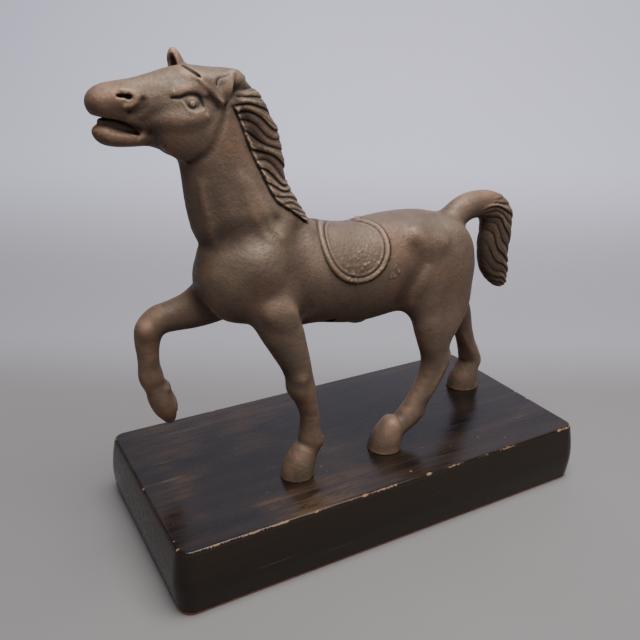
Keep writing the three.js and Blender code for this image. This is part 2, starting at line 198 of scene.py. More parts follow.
def smooth_path(rows, parts):
    """A Catmull-Rom line through rows of any number of values each."""
    rows = np.array(rows, float)
    if len(rows) < 3:
        return np.array([rows[0] + (rows[-1] - rows[0]) * t for t in np.linspace(0, 1, parts + 1)])
    ends = np.vstack([2 * rows[0] - rows[1], rows, 2 * rows[-1] - rows[-2]])
    line = []
    for p0, p1, p2, p3 in zip(ends, ends[1:], ends[2:], ends[3:]):
        for t in np.arange(parts) / parts:
            line.append(0.5 * (
                2 * p1 + (p2 - p0) * t + (2 * p0 - 5 * p1 + 4 * p2 - p3) * t ** 2
                + (3 * p1 - p0 - 3 * p2 + p3) * t ** 3
            ))
    line.append(rows[-1])
    return np.array(line)


THINNEST = 0.15
LIMB_MARGIN = 7
CORE_SHARE = 0.05
CORE_DEPTH = 0.95


class Limb:
    """Ovals along a smooth line. A row is x, y, z, half depth and half width, the width lying
    along `side`; with four values the section is round."""

    def __init__(self, rows, side=(0, 1, 0), parts=4):
        rows = np.array(rows, float)
        if rows.shape[1] == 4:
            rows = np.hstack([rows, rows[:, 3:]])
        self.rows = smooth_path(rows, parts)
        self.rows[:, 3:] = np.maximum(self.rows[:, 3:], THINNEST)
        self.side = np.array(side, float) / np.linalg.norm(side)

    def reach(self, pad):
        size = self.rows[:, 3:].max(axis=1)[:, None] + pad
        return (self.rows[:, :3] - size).min(axis=0), (self.rows[:, :3] + size).max(axis=0)

    def distance(self, place):
        xs, ys, zs = (axis.ravel() for axis in place)
        out = np.full((len(xs), len(ys), len(zs)), FAR, np.float32)
        for start, end in zip(self.rows[:-1], self.rows[1:]):
            reach = max(start[3:].max(), end[3:].max()) + LIMB_MARGIN
            low, high = np.minimum(start, end)[:3] - reach, np.maximum(start, end)[:3] + reach
            spans = [slice(*np.searchsorted(axis, ends)) for axis, *ends in zip((xs, ys, zs), low, high)]
            part = out[tuple(spans)]
            if part.size == 0:
                continue
            x = xs[spans[0]][:, None, None] - np.float32(start[0])
            y = ys[spans[1]][None, :, None] - np.float32(start[1])
            z = zs[spans[2]][None, None, :] - np.float32(start[2])
            np.minimum(part, self.segment(x, y, z, start, end), out=part)
        return out

    def segment(self, x, y, z, start, end):
        """Distance to one straight stretch between two ovals, near enough close to its skin."""
        line = end[:3] - start[:3]
        length2 = max(float(line @ line), 1e-9)
        along = line / math.sqrt(length2)
        t = np.clip((x * line[0] + y * line[1] + z * line[2]) / length2, 0, 1).astype(np.float32)
        x = x - t * line[0]
        y = y - t * line[1]
        z = z - t * line[2]
        across = self.side - (self.side @ along) * along
        across = across / max(np.linalg.norm(across), 1e-6)
        deep = start[3] + t * (end[3] - start[3])
        wide = start[4] + t * (end[4] - start[4])
        tip = np.minimum(deep, wide)
        w = x * across[0] + y * across[1] + z * across[2]
        s = x * along[0] + y * along[1] + z * along[2]
        q = np.maximum(x * x + y * y + z * z - w * w - s * s, 0)
        k0 = np.sqrt(q / deep ** 2 + (w / wide) ** 2 + (s / tip) ** 2)
        k1 = np.sqrt(q / deep ** 4 + (w / wide ** 2) ** 2 + (s / tip ** 2) ** 2)
        return np.where(k0 < CORE_SHARE, -CORE_DEPTH * tip, k0 * (k0 - 1) / np.maximum(k1, 1e-6))


def rotation(axis, degrees):
    """The matrix that turns a point about one axis."""
    i, j = (axis + 1) % 3, (axis + 2) % 3
    turn = np.eye(3)
    turn[i, i] = turn[j, j] = math.cos(math.radians(degrees))
    turn[j, i] = math.sin(math.radians(degrees))
    turn[i, j] = -turn[j, i]
    return turn


class Egg:
    """An ellipsoid, pitched about Y and then turned about Z, in degrees."""

    def __init__(self, centre, radii, pitch=0, turn=0):
        self.centre = np.array(centre, float)
        self.radii = np.array(radii, float)
        self.axes = rotation(2, turn) @ rotation(1, pitch)

    def reach(self, pad):
        size = self.radii.max() + pad
        return self.centre - size, self.centre + size

    def distance(self, place):
        x, y, z = (axis - np.float32(c) for axis, c in zip(place, self.centre))
        local = [self.axes[0, k] * x + self.axes[1, k] * y + self.axes[2, k] * z for k in range(3)]
        k0 = np.sqrt(sum((v / r) ** 2 for v, r in zip(local, self.radii)))
        k1 = np.sqrt(sum((v / r ** 2) ** 2 for v, r in zip(local, self.radii)))
        inner = -CORE_DEPTH * self.radii.min()
        return np.where(k0 < CORE_SHARE, inner, k0 * (k0 - 1) / np.maximum(k1, 1e-6)).astype(np.float32)


def tapered(points, radius, tip=0.25):
    """Rows for a Limb that is thickest half way along a line of points."""
    share = np.linspace(0, 1, len(points))
    size = radius * (tip + (1 - tip) * np.sin(np.pi * share) ** 0.6)
    return np.hstack([points, size[:, None]])


def raise_line(clay, points, radius, lift, blend, tip=0.25):
    """A rounded ridge along the surface, standing `lift` proud of it half way along."""
    path = smooth_path(points, 4)
    path, out = clay.settle(path)
    rows = tapered(path, radius, tip)
    rows[:, :3] += out * (lift - rows[:, 3:4])
    clay.add(Limb(rows, parts=1), blend)


def score_line(clay, points, radius, depth, blend, tip=0.25):
    """A rounded groove along the surface, `depth` deep half way along."""
    path = smooth_path(points, 4)
    path, out = clay.settle(path)
    rows = tapered(path, radius, tip)
    rows[:, :3] += out * (rows[:, 3:4] - depth)
    clay.cut(Limb(rows, parts=1), blend)


# ---- Shape of the horse, in millimetres ----

board_low, board_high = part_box("base_board")
SOLE = board_high[2] / MM
MID = 7.0
LEFT, RIGHT = 1, -1


def on_side(points, side):
    """Points given for the left side, on the side asked for."""
    points = np.array(points, float)
    if side == RIGHT:
        points[:, 1] = 2 * MID - points[:, 1]
    return points


TRUNK = [
    (90, MID, 178, 24, 19), (76, MID, 175, 31, 25), (54, MID, 171, 34, 27), (30, MID, 168, 32, 27.5),
    (5, MID, 164.5, 33, 28.5), (-20, MID, 166.8, 33.7, 28.5), (-45, MID, 167.4, 32.4, 27),
    (-62, MID, 164.4, 28.4, 23),
]
NECK = [
    (62, MID, 184, 30, 23), (76, MID, 202, 31.6, 20.5), (85.4, MID, 220, 27.6, 17),
    (91.6, MID, 238, 23, 15), (96, MID, 254, 20, 14), (99, MID, 268, 17, 13),
]
UPPER_HEAD = [
    (103, MID, 274, 16.5, 12), (114, MID, 273, 18.6, 13.2), (124, MID, 273, 16.2, 12.4),
    (134, MID, 273.4, 13.4, 10.9), (144, MID, 274.2, 11.2, 10), (150, MID, 274.6, 9.8, 9.8),
    (153.2, MID, 275, 8, 8.8),
]
LOWER_JAW = [
    (117, MID, 258, 11, 9), (129, MID, 258.3, 6.6, 7.4), (139, MID, 256.8, 4.6, 6.7),
    (147, MID, 257.4, 4.8, 6.9), (152.6, MID, 259.3, 5.3, 6.4), (156.2, MID, 261, 3.2, 5),
]
LEFT_FORELEG = [
    (70, 25, 162, 17, 11), (67, 28.5, 148, 14.5, 10.5), (62.5, 30, 135, 12, 9.8), (57.5, 30, 122, 9.8, 9),
    (54.5, 30, 111, 8.7, 8.5), (53, 30.5, 103, 8.7, 8.7), (50.5, 31, 94.5, 7, 7), (48.3, 31, 84, 5.9, 6),
    (48, 31, 75, 6.4, 6.2), (47.5, 31, 67, 7.8, 7.3), (48.2, 31, 61, 7.6, 7.4), (52, 31.5, 55, 7.8, 8),
]
RIGHT_FORELEG = [
    (80, -6, 165, 20, 13.5), (94, -10, 155.6, 15.6, 12), (106, -12, 150.2, 12, 10.4),
    (118, -13.5, 147.8, 9.9, 9), (127, -14, 146.2, 9.2, 8.6), (133, -14, 141, 8.8, 8.4),
    (134.8, -14, 133.5, 7.8, 7.6), (135, -14, 126, 6.9, 6.9), (135, -14, 118, 6.8, 6.8),
    (134.4, -14, 110.5, 7.8, 7.3), (132.6, -14, 104, 7, 6.7), (130, -14, 97.5, 5.8, 6.3),
]
LEFT_HINDLEG = [
    (-61, 20, 162, 21, 14), (-56, 25, 144, 24, 12), (-50.4, 28.5, 128, 19.6, 11),
    (-48.6, 30, 117, 13.9, 9.5), (-49.5, 30, 107, 10.8, 8.5), (-50.5, 30, 98, 10.8, 8.2),
    (-47, 30, 88, 9.4, 7.8), (-41, 30, 78, 8.3, 7.4), (-35, 30.5, 69.5, 8, 7.2), (-31, 31, 63.5, 8.8, 8),
    (-23, 31, 57.5, 7.4, 7.8), (-15, 31, 53, 8.5, 8.6),
]
RIGHT_HINDLEG = [
    (-66, -6, 158, 23, 14), (-80, -10, 138, 17, 11.5), (-95.5, -13, 123, 11.8, 9.4),
    (-105, -15, 112.5, 10.3, 8.2), (-110, -16, 102.5, 9, 7.4), (-114, -16.5, 92, 7.7, 6.8),
    (-118.5, -17, 80, 7.6, 6.8), (-122.5, -17.5, 70, 8.8, 7.6), (-124.5, -18, 63, 9.2, 8.2),
    (-122, -18, 56.5, 8.8, 8.4),
]
TAIL = [
    (-66, MID, 182, 11, 10), (-76, MID, 191.5, 9.5, 9), (-85, MID, 196.7, 9.6, 8.6),
    (-95, MID, 198.5, 9.4, 8.2), (-105, MID, 196.6, 10.6, 8.2), (-112.4, MID, 190, 12.4, 8.2),
    (-114.4, MID, 180, 12.7, 8.2), (-113.5, MID, 168, 12.7, 8.2), (-114.5, MID, 156, 11.6, 8),
    (-118.5, MID, 147, 9.6, 7.2), (-122, MID, 140, 6, 5.5),
]
MANE = [
    (87, MID, 277, 7.2, 7.5), (76.5, MID, 271.5, 8.4, 7.5), (72, MID, 262, 9.1, 7.5),
    (66.5, MID, 252, 9.3, 7.5), (64, MID, 238, 9.1, 7.5), (61, MID, 226, 7.8, 7.5),
    (55, MID, 214.5, 6.6, 7), (48, MID, 205.5, 4.8, 6), (40, MID, 200.5, 3, 4),
]
FORELOCK = [
    (110, MID, 285.4, 6, 10), (99, MID, 285, 6, 12), (88, MID, 284.4, 6, 11.5), (82, MID, 284, 5.6, 8),
]

CLAY_LOW = (-142, -36, SOLE - 4)
CLAY_HIGH = (168, 50, 308)

# A mass is an egg's centre, radii and pitch, and how softly it blends. Pairs are given on the left.

HAUNCH = ((-58, 20, 161), (23, 17, 32), -14, 8)
RUMP = ((-64, MID, 173), (22, 15, 21), 0, 6)
LEFT_THIGH = ((-40, 24, 150), (17, 11.5, 22), 20, 7)
RIGHT_THIGH = ((-48, -9, 150), (17, 11.5, 22), 0, 7)
SHOULDER = ((74, 22, 174), (19, 13, 29), 18, 8)
BREAST = ((88, 15, 171), (19, 14, 22), 0, 6)
SHOULDER_POINT = ((76, 27, 181), (9, 6.4, 9), 0, 9)
ELBOW = ((69, 35, 156), (10.5, 4.8, 7.5), -20, 6)
CHEEK = ((111.5, 14.5, 261), (17, 8.2, 17), 0, 4)
BELLY_BUMP = ((1, MID, 132.6), (8.5, 7.5, 3.4), 0, 1.5)


def add_mass(clay, mass, side=LEFT):
    centre, radii, pitch, blend = mass
    clay.add(Egg(on_side([centre], side)[0], radii, pitch), blend)


def cut_mass(clay, mass, side=LEFT, turn=0):
    centre, radii, pitch, blend = mass
    clay.cut(Egg(on_side([centre], side)[0], radii, pitch, turn * side), blend)


def rough_horse(step):
    """The masses of the horse, joined softly."""
    clay = Clay(CLAY_LOW, CLAY_HIGH, step)
    clay.add(Limb(TRUNK), blend=1)
    for side in (LEFT, RIGHT):
        add_mass(clay, HAUNCH, side)
    for mass in (RUMP, LEFT_THIGH, RIGHT_THIGH):
        add_mass(clay, mass)
    for side in (LEFT, RIGHT):
        for mass in (SHOULDER, BREAST, SHOULDER_POINT):
            add_mass(clay, mass, side)
    clay.add(Limb(NECK), blend=7)
    for leg in (LEFT_FORELEG, LEFT_HINDLEG, RIGHT_FORELEG, RIGHT_HINDLEG):
        clay.add(Limb(leg), blend=5)
    clay.add(Limb(TAIL), blend=3)
    clay.add(Limb(UPPER_HEAD), blend=3)
    for side in (LEFT, RIGHT):
        add_mass(clay, CHEEK, side)
    clay.add(Limb(LOWER_JAW), blend=1.5)
    return clay


def soft_forms(clay):
    """Broad muscles, hollows and tendons, put on before the clay is smoothed."""
    for side in (LEFT, RIGHT):
        score_line(clay, on_side(SHOULDER_GROOVE, side), radius=10, depth=1.2, blend=7)
        score_line(clay, on_side(FLANK_GROOVE, side), radius=9, depth=0.9, blend=6)
        raise_line(clay, on_side(THIGH_RIDGE, side), radius=4, lift=0.7, blend=4)
        score_line(clay, on_side(NECK_BASE_GROOVE, side), radius=9, depth=0.9, blend=6)
        for ridge in NECK_RIDGES:
            raise_line(clay, on_side(ridge, side), radius=3, lift=0.8, blend=3)
        raise_line(clay, on_side(HIP_RIDGE, side), radius=9, lift=1.3, blend=8)
    add_mass(clay, ELBOW)
    for tendon in TENDONS:
        raise_line(clay, tendon, radius=2.2, lift=1.0, blend=2)
    for bump, size in JOINT_BUMPS:
        clay.add(Egg(bump, size), blend=4)


SHOULDER_GROOVE = [
    (51, 24.7, 201.7), (53.4, 30.3, 191.6), (55.9, 33.9, 177.9), (53.9, 33.8, 162.2), (51, 31, 152),
]
FLANK_GROOVE = [(-27, 32.3, 184), (-28, 35, 170), (-21, 34, 157), (-18, 31, 145)]
THIGH_RIDGE = [(-35.4, 34, 168), (-30.6, 34, 158), (-26, 33.5, 151), (-25, 31, 143)]
NECK_BASE_GROOVE = [(100, 10, 199), (92, 24, 201), (80, 30, 203), (66, 27, 210)]
NECK_RIDGES = [
    [(106, 16, 232), (104.5, 18.2, 217.8), (103.4, 18.5, 209.4), (102, 18.4, 198)],
    [(86, 20, 236), (84, 23, 227), (79.5, 25.6, 214), (72, 29.6, 199.4)],
    [(82, 19, 232), (77, 24, 222), (72, 26, 211), (64, 29, 200)],
]
HIP_RIDGE = [(-30, 25, 190), (-38, 29.5, 187.5), (-48, 31, 184)]
TENDONS = [
    [(43.5, 36, 90), (42, 36, 80), (42.5, 36, 71)],
    [(-52, 33, 97), (-46.5, 34, 85), (-41, 34, 75)],
    [(-110, -12, 92), (-116, -12, 80), (-121, -13, 71)],
]
JOINT_BUMPS = [
    ((57.5, 31, 105), (5, 7, 6)),
    ((57, 35, 112.5), (4, 4.5, 4)),
    ((137, -10, 143), (4.6, 5, 5)),
    ((-58, 30, 101), (4, 5, 6)),
    ((42.5, 31, 63.5), (4, 5.5, 4.5)),
    ((-38.5, 30.5, 64), (4, 5.5, 4.5)),
    ((-129.5, -18, 63), (3.5, 5.5, 4.5)),
]

LEFT_FORE_HOOF = [
    (52.5, 31.5, 57.5, 8, 8), (54.5, 31.8, 52.5, 9.6, 9.2), (56.5, 32, 47.5, 10.4, 10),
    (57.5, 32, 40, 11.2, 10.6),
]
LEFT_HIND_HOOF = [
    (-15.5, 31, 57, 8.4, 8.6), (-13.5, 31, 52.5, 10, 9.8), (-11.5, 31, 47.5, 11, 10.8),
    (-10.5, 31, 40, 12, 11.6),
]
RIGHT_HIND_HOOF = [
    (-122, -18, 59, 8.4, 8.6), (-121, -18, 53.5, 10.3, 10), (-119.8, -18, 48, 12.2, 11),
    (-119.4, -18, 40, 13.8, 12),
]
RAISED_HOOF = [
    (131.5, -14, 101, 6.6, 7), (129.5, -14, 95, 8, 8.4), (127, -14, 88, 7.8, 8.4),
    (125.2, -14, 80.5, 4.4, 6),
]
RAISED_HEEL = ((126.8, -14, 101.5), (4, 6.6, 4.6), 0, 1.6)
RAISED_SOLE = ((122.6, -14, 89), (1.6, 5.6, 8), 12, 0.8)


def add_hooves(clay):
    for hoof in (LEFT_FORE_HOOF, LEFT_HIND_HOOF, RIGHT_HIND_HOOF):
        clay.add(Limb(hoof), blend=1.6)
    clay.add(Limb(RAISED_HOOF), blend=1.4)
    add_mass(clay, RAISED_HEEL)
    cut_mass(clay, RAISED_SOLE)
    clay.d = np.maximum(clay.d, SOLE - clay.whole()[2])


RIGHT_EAR = [
    (107, -4, 279, 6, 5.6), (108, -4, 286, 5.6, 5), (109.3, -4.2, 291.5, 4.6, 4.2),
    (110.4, -4.2, 295.4, 3.7, 3.4), (110.8, -4.2, 298, 2.4, 2.2),
]
LEFT_EAR = [
    (92, 18, 275.5, 2.6, 2.2), (92.2, 18.2, 279.4, 4.4, 2.4), (90.8, 17.6, 283.6, 4.4, 2.2),
    (88, 16.6, 286.8, 2.9, 1.8), (84.6, 15.8, 288.7, 1, 0.8),
]
POLL_HAIR = [
    (106, 12, 284.4, 3.6, 5), (100.5, 15, 282.5, 5.4, 5), (96, 17, 278.5, 4.6, 4), (94, 19, 274, 2, 3),
]
EAR_SLOPE = [(107, -3.5, 286, 5.5, 5), (101, -1, 287.4, 4, 5), (95, 2, 286.8, 3, 5)]
FORELOCK_SLIT = [
    (111, -0.5, 290.2), (110.6, 5, 290.3), (109.8, 10.7, 290), (107.2, 15.1, 288.4), (104.2, 18.6, 285.8),
]
FORELOCK_EDGE = [(105.4, 18.6, 285.4), (102.6, 20.4, 282), (99, 23, 278), (96, 24, 274.5)]
EAR_GROOVE = [(96.6, 20.4, 282), (95.6, 20.6, 285), (92.4, 20.2, 287.4), (88.6, 19, 288.6)]


EAR_HOLLOW = ((112.3, -1.4, 291.5), (2.2, 2.6, 6), 8, 0.8)


def add_ears(clay):
    clay.add(Limb(FORELOCK), blend=3)
    clay.add(Limb(RIGHT_EAR), blend=2)
    clay.add(Limb(EAR_SLOPE), blend=2.5)
    cut_mass(clay, EAR_HOLLOW)
    clay.add(Limb(POLL_HAIR, side=(0.3, 0.9, 0.3)), blend=2.5)
    clay.add(Limb(LEFT_EAR, side=(0.5, 0.8, 0.3)), blend=1.4)
    score_line(clay, FORELOCK_SLIT, radius=1.2, depth=1.3, blend=0.8)
    raise_line(clay, FORELOCK_EDGE, radius=1.3, lift=0.4, blend=1.2)
    score_line(clay, EAR_GROOVE, radius=0.8, depth=0.4, blend=0.8)


BROW = [(119, 18, 279), (114, 20, 281.2), (108.5, 20.8, 281.6), (103.5, 20.4, 278.4)]
EYE_CREASE = [
    (120.5, 19, 276.8), (116, 20.5, 277), (112.6, 21, 278.1), (109.2, 21, 278.3), (106, 20.8, 276.7),
    (104.2, 20.5, 272),
]
LOWER_LID = [(115.2, 20, 274), (112.9, 20.8, 270.2), (108.4, 20.8, 269), (104.4, 20.6, 270.4)]
EYE_SOCKET = ((110.6, 23.4, 275), (6.6, 2.8, 4.2), -8, 2)
EYE_SOCKET_TURN = 8
EYEBALL = ((110.4, 17.6, 273.5), (4.3, 4.1, 4.2), 0, 0.5)
IRIS_CENTRE = (110.4, 21.6, 273.5)
IRIS_RADIUS = 2.1
IRIS = [
    (IRIS_CENTRE[0] + IRIS_RADIUS * math.cos(a), IRIS_CENTRE[1], IRIS_CENTRE[2] + IRIS_RADIUS * math.sin(a))
    for a in np.linspace(0, 2 * math.pi, 9)
]
NOSTRIL_SWELLING = ((142.6, 14, 276.8), (7.5, 3.4, 5), -10, 3)
NOSTRIL_SLOT = ((144.8, 17.2, 278.4), (3, 2.2, 0.9), -4, 0.8)
NOSTRIL_HOLE = ((141.7, 17.2, 277.9), (1.7, 2.2, 1.3), 0, 0.8)
FACE_CREST = [(104, 20.4, 267), (114, 20.4, 265.8), (124, 18, 265.6), (132, 16, 264)]
NOSTRIL_RIM = [
    (144.5, 15.4, 280.6), (140.8, 16, 280), (138.2, 16.3, 278.3), (138, 16.5, 275.8),
    (140.2, 16.8, 273.9), (144, 16.6, 273.6),
]
NOSTRIL_CREASE = [(141.5, 15.6, 270.8), (137.6, 15.6, 271.3), (135, 15.4, 273), (134, 15, 276)]
MOUTH_CORNER = [
    (142, 14, 267), (138.4, 14.6, 265.4), (135, 15, 262), (135.2, 14.6, 258.6), (137.6, 13.6, 256),
]
JAW_EDGE = [
    (90, 17, 273.6), (93.3, 19.8, 265), (97.5, 21.2, 257.6), (100.5, 21, 252), (104.8, 20, 247.6),
    (112, 15, 244),
]
MOUTH_GAP = [
    (136.5, MID, 258.8, 0.6, 11), (141.5, MID, 262.2, 2, 12), (148, MID, 265, 2.2, 12),
    (156, MID, 266.7, 1.8, 12), (164, MID, 267.4, 2, 12),
]
TONGUE = [
    (137, MID, 259.8, 2.8, 4), (144, MID, 262.8, 3.4, 4), (150, MID, 264.8, 3, 4),
    (154, MID, 265.6, 1.8, 3),
]


def add_face(clay):
    clay.cut(Limb(MOUTH_GAP), blend=1)
    clay.add(Limb(TONGUE), blend=1)
    for side in (LEFT, RIGHT):
        face_side(clay, side)


def face_side(clay, side):
    """The eye, brow, nostril, lips and jaw edge on one side."""
    cut_mass(clay, EYE_SOCKET, side, EYE_SOCKET_TURN)
    add_mass(clay, EYEBALL, side)
    score_line(clay, on_side(IRIS, side), radius=0.7, depth=0.4, blend=0.4, tip=1)
    raise_line(clay, on_side(BROW, side), radius=3.2, lift=0.7, blend=3)
    score_line(clay, on_side(EYE_CREASE, side), radius=1.2, depth=0.7, blend=0.9)
    raise_line(clay, on_side(LOWER_LID, side), radius=1.1, lift=0.4, blend=0.8, tip=0.4)
    raise_line(clay, on_side(FACE_CREST, side), radius=4, lift=0.4, blend=4)
    add_mass(clay, NOSTRIL_SWELLING, side)
    raise_line(clay, on_side(NOSTRIL_RIM, side), radius=1.6, lift=0.6, blend=1.6, tip=0.4)
    cut_mass(clay, NOSTRIL_SLOT, side)
    cut_mass(clay, NOSTRIL_HOLE, side)
    score_line(clay, on_side(NOSTRIL_CREASE, side), radius=2.4, depth=0.35, blend=2.4)
    raise_line(clay, on_side(MOUTH_CORNER, side), radius=1.8, lift=0.5, blend=1.8)
    score_line(clay, on_side(JAW_EDGE, side), radius=2.4, depth=0.2, blend=2.4)


# Hair lies in locks that lap over one another across a band, each scored into finer strands.

MANE_INNER = [
    (88.4, 273), (83, 264), (78, 248.7), (71.7, 234), (65.7, 221), (55, 213.4), (44.4, 205.5),
]
MANE_CREST = [
    (80, 285), (69.5, 279.5), (61.5, 268.5), (58, 257), (54, 248.5), (52, 236), (51.5, 227.5),
    (47, 220.5), (41.5, 211.5), (35.5, 203.5),
]
MANE_LOCKS = 13
MANE_SWEEP = 1.45
MANE_LIFT = 0.8
MANE_DEPTH = 1.5
MANE_FADE_START, MANE_FADE_END, MANE_FADE_EDGE = 0.08, 0.05, 0.1
TAIL_LOCKS = 12
TAIL_SWEEP = (0.2, 0.42, 0.6, 0.8, 1), (5.5, 3, 1.9, 1.7, 2)
TAIL_DEPTH = 1.6
TAIL_DEPTH_ACROSS = (-1, -0.4, 0.2), (0.2, 0.6, 1)
TAIL_HAIR_START = 0.2
TAIL_HAIR_SLANT = 0.1
TAIL_HAIR_FADE = 0.07
TAIL_HAIR_EDGE = -1.3
LOCK_SIZES = (0.5, 1.1)
LOCK_SHIFT = 0.3
SHIFT_WIDTH = 5
STRANDS = 3
STRAND_DEPTH = 0.2
MANE_REACH = (30, -20, 196), (100, 34, 294)
TAIL_REACH = (-136, -6, 130), (-62, 20, 214)


def along(rows, share):
    """Points at the given shares, 0 to 1, of a line's rows."""
    place = np.clip(np.asarray(share, float), 0, 1) * (len(rows) - 1)
    return np.stack([np.interp(place, np.arange(len(rows)), column) for column in rows.T], axis=-1)


def beside(line, x, z):
    """How far along a line each place is, 0 to 1, and how far across it in half widths.

    The rows of the line are X, Z and half width. Across is positive towards the crest or the tail's back.
    """
    way = np.gradient(line[:, :2], axis=0)
    length = np.linalg.norm(way, axis=1)
    away = (x[..., None] - line[:, 0]) ** 2 + (z[..., None] - line[:, 1]) ** 2
    nearest = np.argmin(away, axis=-1)
    way_x, way_z = (way / length[:, None])[nearest].transpose(3, 0, 1, 2)
    gap_x, gap_z = x - line[nearest, 0], z - line[nearest, 1]
    share = (nearest + (gap_x * way_x + gap_z * way_z) / length[nearest]) / (len(line) - 1)
    return share, (gap_x * way_z - gap_z * way_x) / line[nearest, 2]


def locks(phase, random):
    """The height of lapped locks, one to each whole number of phase: a slow rise and a sharp drop."""
    number = np.floor(phase)
    part = phase - number
    sizes = random.uniform(*LOCK_SIZES, 64)
    swell = np.clip(np.sin(np.pi * (1 - part) ** 0.65), 0, 1) ** 0.7
    strands = 0.5 - 0.5 * np.cos(2 * np.pi * STRANDS * part)
    return sizes[number.astype(int) % len(sizes)] * swell * (1 - STRAND_DEPTH + STRAND_DEPTH * strands)


def across_spine(y):
    """The shift of the locks along their band, forwards on one side of the spine and back on the other."""
    return LOCK_SHIFT * np.tanh((y - MID) / SHIFT_WIDTH)


def mane_band():
    """The line up the middle of the mane, with its half width."""
    share = np.linspace(0, 1, 200)
    inner = along(smooth_path(MANE_INNER, 6), share)
    crest = along(smooth_path(MANE_CREST, 6), share)
    middle, half = (inner + crest) / 2, (crest - inner) / 2
    way = np.gradient(middle, axis=0)
    way /= np.linalg.norm(way, axis=1, keepdims=True)
    return np.column_stack([middle, np.abs(half[:, 0] * way[:, 1] - half[:, 1] * way[:, 0])])


def tail_band():
    """The line down the tail, with its half depth."""
    return smooth_path(TAIL, 20)[:, (0, 2, 3)]


def mane_cover(share, across):
    """One on the mane, falling to nothing past its inner edge and its two ends."""
    ends = np.clip(share / MANE_FADE_START, 0, 1) * np.clip((1 - share) / MANE_FADE_END, 0, 1)
    return ends * np.clip((across + 1) / MANE_FADE_EDGE, 0, 1)


def tail_cover(share, across):
    """One on the tail's hair, which starts further down the tail on its back than on its inner side."""
    start = TAIL_HAIR_START + TAIL_HAIR_SLANT * (across + 1)
    return np.clip((share - start) / TAIL_HAIR_FADE, 0, 1) * (across > TAIL_HAIR_EDGE)


def add_mane(clay, random):
    clay.add(Limb(MANE), blend=3)
    part, (x, y, z) = clay.window(*MANE_REACH)
    share, across = beside(mane_band(), x, z)
    bend = across + 0.12 * np.sin(np.pi * across) + 0.1 * np.sin(23 * share)
    phase = MANE_LOCKS * share - MANE_SWEEP * bend + across_spine(y)
    clay.d[part] -= mane_cover(share, across) * (MANE_LIFT + MANE_DEPTH * locks(phase, random))


def add_tail(clay, random):
    """Locks that leave the tail's inner side past the smooth dock and sweep round to its back."""
    part, (x, y, z) = clay.window(*TAIL_REACH)
    share, across = beside(tail_band(), x, z)
    bend = across + 0.08 * np.sin(1.5 * np.pi * across + 12 * share)
    phase = TAIL_LOCKS * share - np.interp(share, *TAIL_SWEEP) * bend + across_spine(y)
    depth = TAIL_DEPTH * np.interp(across, *TAIL_DEPTH_ACROSS)
    clay.d[part] -= depth * tail_cover(share, across) * locks(phase, random)


def hair_at(points):
    """One at points on the mane and the tail, nothing elsewhere."""
    hair = np.zeros(len(points))
    bands = [(mane_band(), mane_cover, MANE_REACH), (tail_band(), tail_cover, TAIL_REACH)]
    for line, cover, (low, high) in bands:
        near = np.all((points > low) & (points < high), axis=1)
        x, _, z = points[near].T[:, :, None, None]
        hair[near] = cover(*beside(line, x, z))[:, 0, 0]
    return hair


# The saddle cloth is an oval flap on each flank, measured round the girth from the spine.

CLOTH_CENTRE = (14.5, 22)
CLOTH_RADII = (23.5, 26)
GIRTH_RADIUS = 31
GIRTH_CENTRE = (MID, 166)
CLOTH_LOW, CLOTH_HIGH = (-14, -30, 125), (42, 44, 206)
FLAP_HEIGHT, FLAP_EDGE = 0.4, 0.8
BORDER_HEIGHT, BORDER_INSET, BORDER_HALF = 0.8, 1.6, 1.9
LINE_HEIGHT, LINE_INSET, LINE_HALF = 0.35, 5, 0.8
STRAP_HEIGHT, STRAP_HALF = 0.3, 5.2
STRAP_X, STRAP_TOP, STRAP_SLANT, STRAP_START = 13.5, 48, 0.22, 40
GRAIN_SIZES = (0.5, 0.9)
GRAIN_SUNK = 0.6


def bulge(distance, half, power=2):
    """One on a line, falling off to nothing at half a width from it."""
    return np.clip(1 - (distance / half) ** power, 0, 1)


def stipple(clay, random, centre, spread, count):
    """Small grains left by the mould, scattered over the flank round a place on its left side."""
    for x, turn, size in zip(*random.normal(0, 0.5, (2, count)), random.uniform(*GRAIN_SIZES, count)):
        angle = (centre[1] + turn * spread[1]) / GIRTH_RADIUS
        y = GIRTH_CENTRE[0] + GIRTH_RADIUS * math.sin(angle)
        z = GIRTH_CENTRE[1] + GIRTH_RADIUS * math.cos(angle)
        for side in (LEFT, RIGHT):
            place, out = clay.settle(on_side([(centre[0] + x * spread[0], y, z)], side))
            clay.add(Egg(place[0] - out[0] * size * GRAIN_SUNK, (size, size, size)), blend=0.5)


def add_saddle(clay, random):
    part, (x, y, z) = clay.window(CLOTH_LOW, CLOTH_HIGH)
    girth = GIRTH_RADIUS * np.abs(np.arctan2(y - GIRTH_CENTRE[0], z - GIRTH_CENTRE[1]))
    side = np.sqrt(girth ** 2 + 9)
    u, v = (x - CLOTH_CENTRE[0]) / CLOTH_RADII[0], (side - CLOTH_CENTRE[1]) / CLOTH_RADII[1]
    radius = np.sqrt(u ** 2 + v ** 2)
    inward = (1 - radius) * min(CLOTH_RADII)
    border = BORDER_HEIGHT * bulge(inward - BORDER_INSET, BORDER_HALF)
    line = LINE_HEIGHT * bulge(inward - LINE_INSET, LINE_HALF)
    flap = FLAP_HEIGHT * np.clip(inward / FLAP_EDGE, 0, 1)
    strap = STRAP_HEIGHT * bulge(x - STRAP_X + (girth - STRAP_TOP) * STRAP_SLANT, STRAP_HALF, power=4)
    clay.d[part] -= border + line + flap + strap * (radius > 1) * (girth > STRAP_START)
    add_mass(clay, BELLY_BUMP)
    stipple(clay, random, (13, 36), (16, 11), 70)
    stipple(clay, random, (-10, 45), (5, 8), 22)


